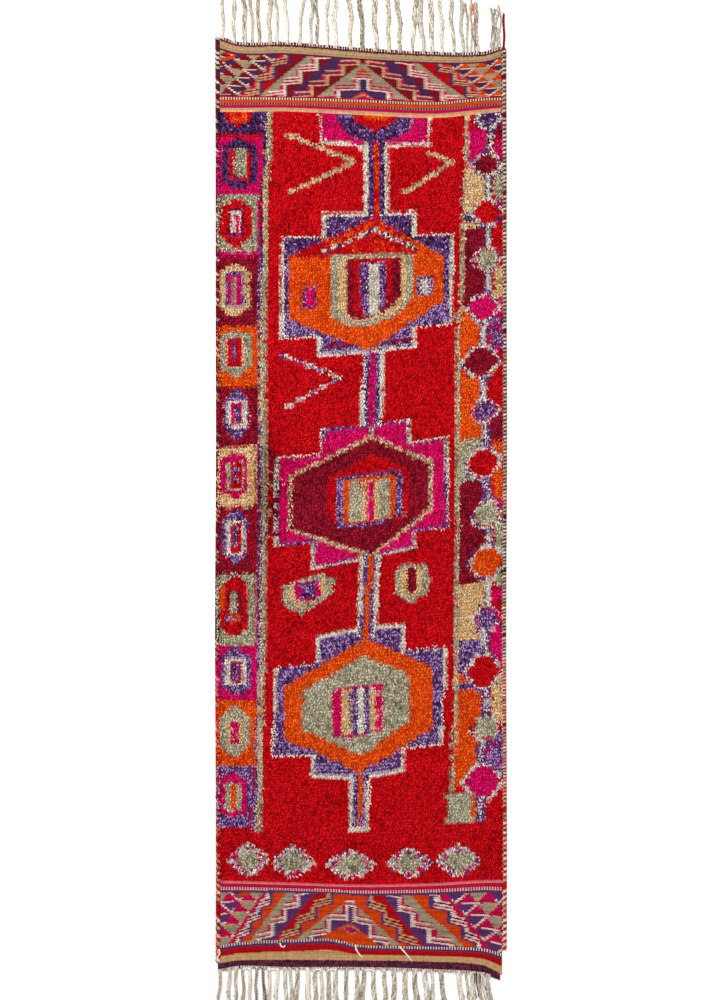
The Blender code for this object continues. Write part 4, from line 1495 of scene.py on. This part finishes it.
def make_loose_ends():
    white = Strands()
    s = np.linspace(0, 1, 9)
    for points in WHITE_ENDS:
        x, y = pixel_path(points, 9)
        for ply in (0, math.pi):
            turn = 9.0 * s + ply
            path = trail(x + 0.9 * np.cos(turn), y, 5.2 + 0.9 * np.sin(turn))
            white.add(path, 2.7 - 0.9 * s, 5, 0.7)
    white.finish("loose_white_ends", warp_wool)
    orange = Strands()
    x, y = pixel_path(ORANGE_FLUFF, 9)
    for _ in range(FLUFF_HAIRS):
        spread = random.normal(0, 4.0)
        aside = x + spread * s + random.normal(0, 2.0, 9)
        path = trail(aside, y, 2.0 + random.uniform(0, 2) * s)
        orange.add(path, 0.8 - 0.4 * s, 3, random.uniform(0, 1), 0.8)
    orange.finish("loose_orange_fluff", PILE_MATERIALS[ORANGE])


# Dark yarn in the low fringe: strands of it at the right in pixels of the photo, and the numbers of
# two locks that it is wound round.
DARK_STRANDS = (
    ((476, 968), (477, 980), (478, 996)), ((478.5, 967), (480, 982), (481, 994)),
    ((481, 967), (482.5, 979), (486, 990)), ((474, 968), (474.5, 984), (476, 998)),
)
BOUND_LOCKS = (5, 6)


def make_dark_strands():
    dark = Strands()
    s = np.linspace(0, 1, 9)
    for points in DARK_STRANDS:
        x, y = pixel_path(points, 9)
        path = trail(x + 1.5 * np.sin(8 * s), y, 3.4 + 1.2 * np.sin(5 * s))
        dark.add(path, 2.4 - 1.0 * s, 5, random.uniform(0.1, 0.6))
    for number in BOUND_LOCKS:
        root, width, drift_mm, length = BOTTOM_LOCKS[number]
        for turn in np.arange(0.04, 0.9, 0.055):
            middle = root + float(side_wave(-1540.0)) + drift_mm * turn * turn * (3 - 2 * turn)
            middle += lock_sway(number, turn)
            y = float(end_line("band", root)) - length * turn
            across = (s - 0.5) * 2
            rise = 3.0 + 3.9 * np.cos(across * 1.5)
            path = trail(middle + (width / 2 + 0.8) * across, y - 3.0 * across, rise)
            dark.add(path, 1.3 * np.ones(9), 4, random.uniform(0.0, 0.5))
    for x in np.arange(-460.0, 450.0, 7.4):
        start = x + random.normal(0, 1.0)
        reach = random.uniform(2.0, 6.5)
        y = float(end_line("band", start)) + 4.0 - (4.0 + reach) * np.linspace(0, 1, 3)
        path = trail(start + random.normal(0, 1.0, 3), y, np.linspace(5.4, 3.4, 3))
        dark.add(path, np.array([1.9, 1.6, 1.0]), 4, random.uniform(0.0, 0.7))
    dark.finish("dark_strands", twined_wool)


def make_twining(name, lanes, left, right, pitch, thick):
    """Pairs of yarns crossing over each other along the cloth's end. lanes give each pair's Y."""
    strands = Strands()
    for number, lane in enumerate(lanes):
        x = np.arange(left, right, pitch / 3.1)
        y = lane(x)
        place = x + side_wave(y)
        lean = 1 if number % 2 else -1
        for pair in (0, math.pi):
            turn = 2 * math.pi * x / (2 * pitch) + pair
            uneven = random.normal(0, 0.5 if 0 < number < len(lanes) - 1 else 1.3, len(x))
            along_cloth = y + lean * thick * 0.46 * np.sin(turn) + uneven
            path = trail(place, along_cloth, 2.8 + thick * 0.22 * np.cos(turn))
            ragged = thick * random.uniform(0.42, 0.6, len(x))
            strands.add(path, ragged, 4, random.uniform(0.0, 0.8, len(x)), 0.8)
    return strands.finish(name, twined_wool)


def band_lane(share):
    """A line in the twined band, at this share of the way from the cloth to the band's far edge."""
    def lane(x):
        return (1 - share) * (end_line("bottom", x) - 0.6) + share * end_line("band", x)
    return lane


def top_lane(beyond):
    """A line this far past the cloth's top end."""
    def lane(x):
        return end_line("top", x) + beyond
    return lane


# Heights along the runner, and the length of a turn of edge yarn there.
LEFT_TURNS = ((-1500.0, -1100.0, 1500.0), (14.0, 8.5, 8.0))
RIGHT_TURNS = ((-1500.0, -1050.0, -900.0, 1500.0), (10.5, 8.0, 5.2, 7.0))
# Heights again, and the share of every other turn that is ivory or sage.
LEFT_PALE = ((-1500, -1000, -900, 1270, 1300, 1530), (0.8, 0.7, 0.35, 0.35, 0.6, 0.6))
RIGHT_PALE = ((-1500, 1500), (0.95, 0.95))
# Lines of twining at both ends.
TOP_LANES = [top_lane(beyond) for beyond in (1.8, 5.4, 9.0)]
BAND_LANES = [band_lane(share) for share in (0.14, 0.38, 0.62, 0.86)]

foundation = make_foundation()
make_flatweave("flatweave_top", CLOTH_TOP, PILE_TOP, top_flatweave_chart)
make_flatweave("flatweave_bottom", PILE_BOTTOM, CLOTH_BOTTOM, bottom_flatweave_chart)
make_pile()
left_edge = make_selvedge(
    "selvedge_left_wraps", -1, top=1530.0, bottom=-1504.0,
    turns=LEFT_TURNS, pale_share=LEFT_PALE, loose_from=1600.0,
)
right_edge = make_selvedge(
    "selvedge_right_wraps", 1, top=1608.0, bottom=-1462.0,
    turns=RIGHT_TURNS, pale_share=RIGHT_PALE, loose_from=1490.0,
)
make_loose_ends()
make_dark_strands()
top_fringe = make_fringe(
    "fringe_top_locks", TOP_LOCKS, 1, top_lane(TOP_TWINING_REACH), arches=(), tick_mm=8.8
)
bottom_fringe = make_fringe(
    "fringe_bottom_locks", BOTTOM_LOCKS, -1, band_lane(1.0), arches=LOW_ARCHES, tick_mm=5.2
)
make_twining("twining_top", TOP_LANES, left=-459.0, right=459.0, pitch=8.6, thick=4.6)
make_twining("twining_bottom", BAND_LANES, left=-468.0, right=454.0, pitch=6.6, thick=5.6)

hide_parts("rug_cloth")
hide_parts("selvedge_left")
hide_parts("selvedge_right")
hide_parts("fringe_top")
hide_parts("fringe_bottom")


# Studio. The floor lies a little below the runner.
FLOOR_HALF = 9000.0
FLOOR_DROP = 0.6
SENSOR_MM, LENS_MM = 36.0, 120.0


def make_floor():
    material = bpy.data.materials.new("pale_studio_floor")
    material.use_nodes = True
    shader = material.node_tree.nodes["Principled BSDF"]
    shader.inputs["Base Color"].default_value = linear(FLOOR_HEX)
    shader.inputs["Roughness"].default_value = 0.9
    points = np.array([(-1, -1, 0), (1, -1, 0), (1, 1, 0), (-1, 1, 0)], float) * FLOOR_HALF
    points[:, 2] = -FLOOR_DROP
    floor = mesh_object("floor", points, [np.array([[0, 1, 2, 3]])], material)


def add_area_light(name, place, size, power, color):
    data = bpy.data.lights.new(name, "AREA")
    data.shape = "DISK"
    data.size = size
    data.energy = power
    data.color = color
    light = bpy.data.objects.new(name, data)
    light.location = place
    light.rotation_euler = (-Vector(place)).to_track_quat("-Z", "Y").to_euler()
    bpy.context.scene.collection.objects.link(light)


def make_studio():
    make_floor()
    add_area_light("key", (-3.2, 3.4, 5.2), 2.2, 600, (1.0, 0.98, 0.95))
    add_area_light("fill", (3.8, -2.5, 5.0), 4.0, 170, (0.95, 0.97, 1.0))
    world = bpy.data.worlds.new("soft_room")
    world.use_nodes = True
    background = world.node_tree.nodes["Background"]
    background.inputs["Color"].default_value = (1.0, 1.0, 1.0, 1.0)
    background.inputs["Strength"].default_value = 0.62
    bpy.context.scene.world = world
    scene = bpy.context.scene
    scene.view_settings.view_transform = "Standard"
    camera_data = bpy.data.cameras.new("camera")
    camera_data.sensor_fit = "VERTICAL"
    camera_data.sensor_height = SENSOR_MM
    camera_data.lens = LENS_MM
    camera_data.clip_end = 60.0
    view_height = PHOTO_HEIGHT * PIXEL_MM * MM
    camera = bpy.data.objects.new("camera", camera_data)
    middle_y = (MID_Y - PHOTO_HEIGHT / 2) * PIXEL_MM * MM
    camera.location = (0.0, middle_y, view_height * LENS_MM / SENSOR_MM)
    scene.collection.objects.link(camera)
    scene.camera = camera


make_studio()
bpy.context.view_layer.update()
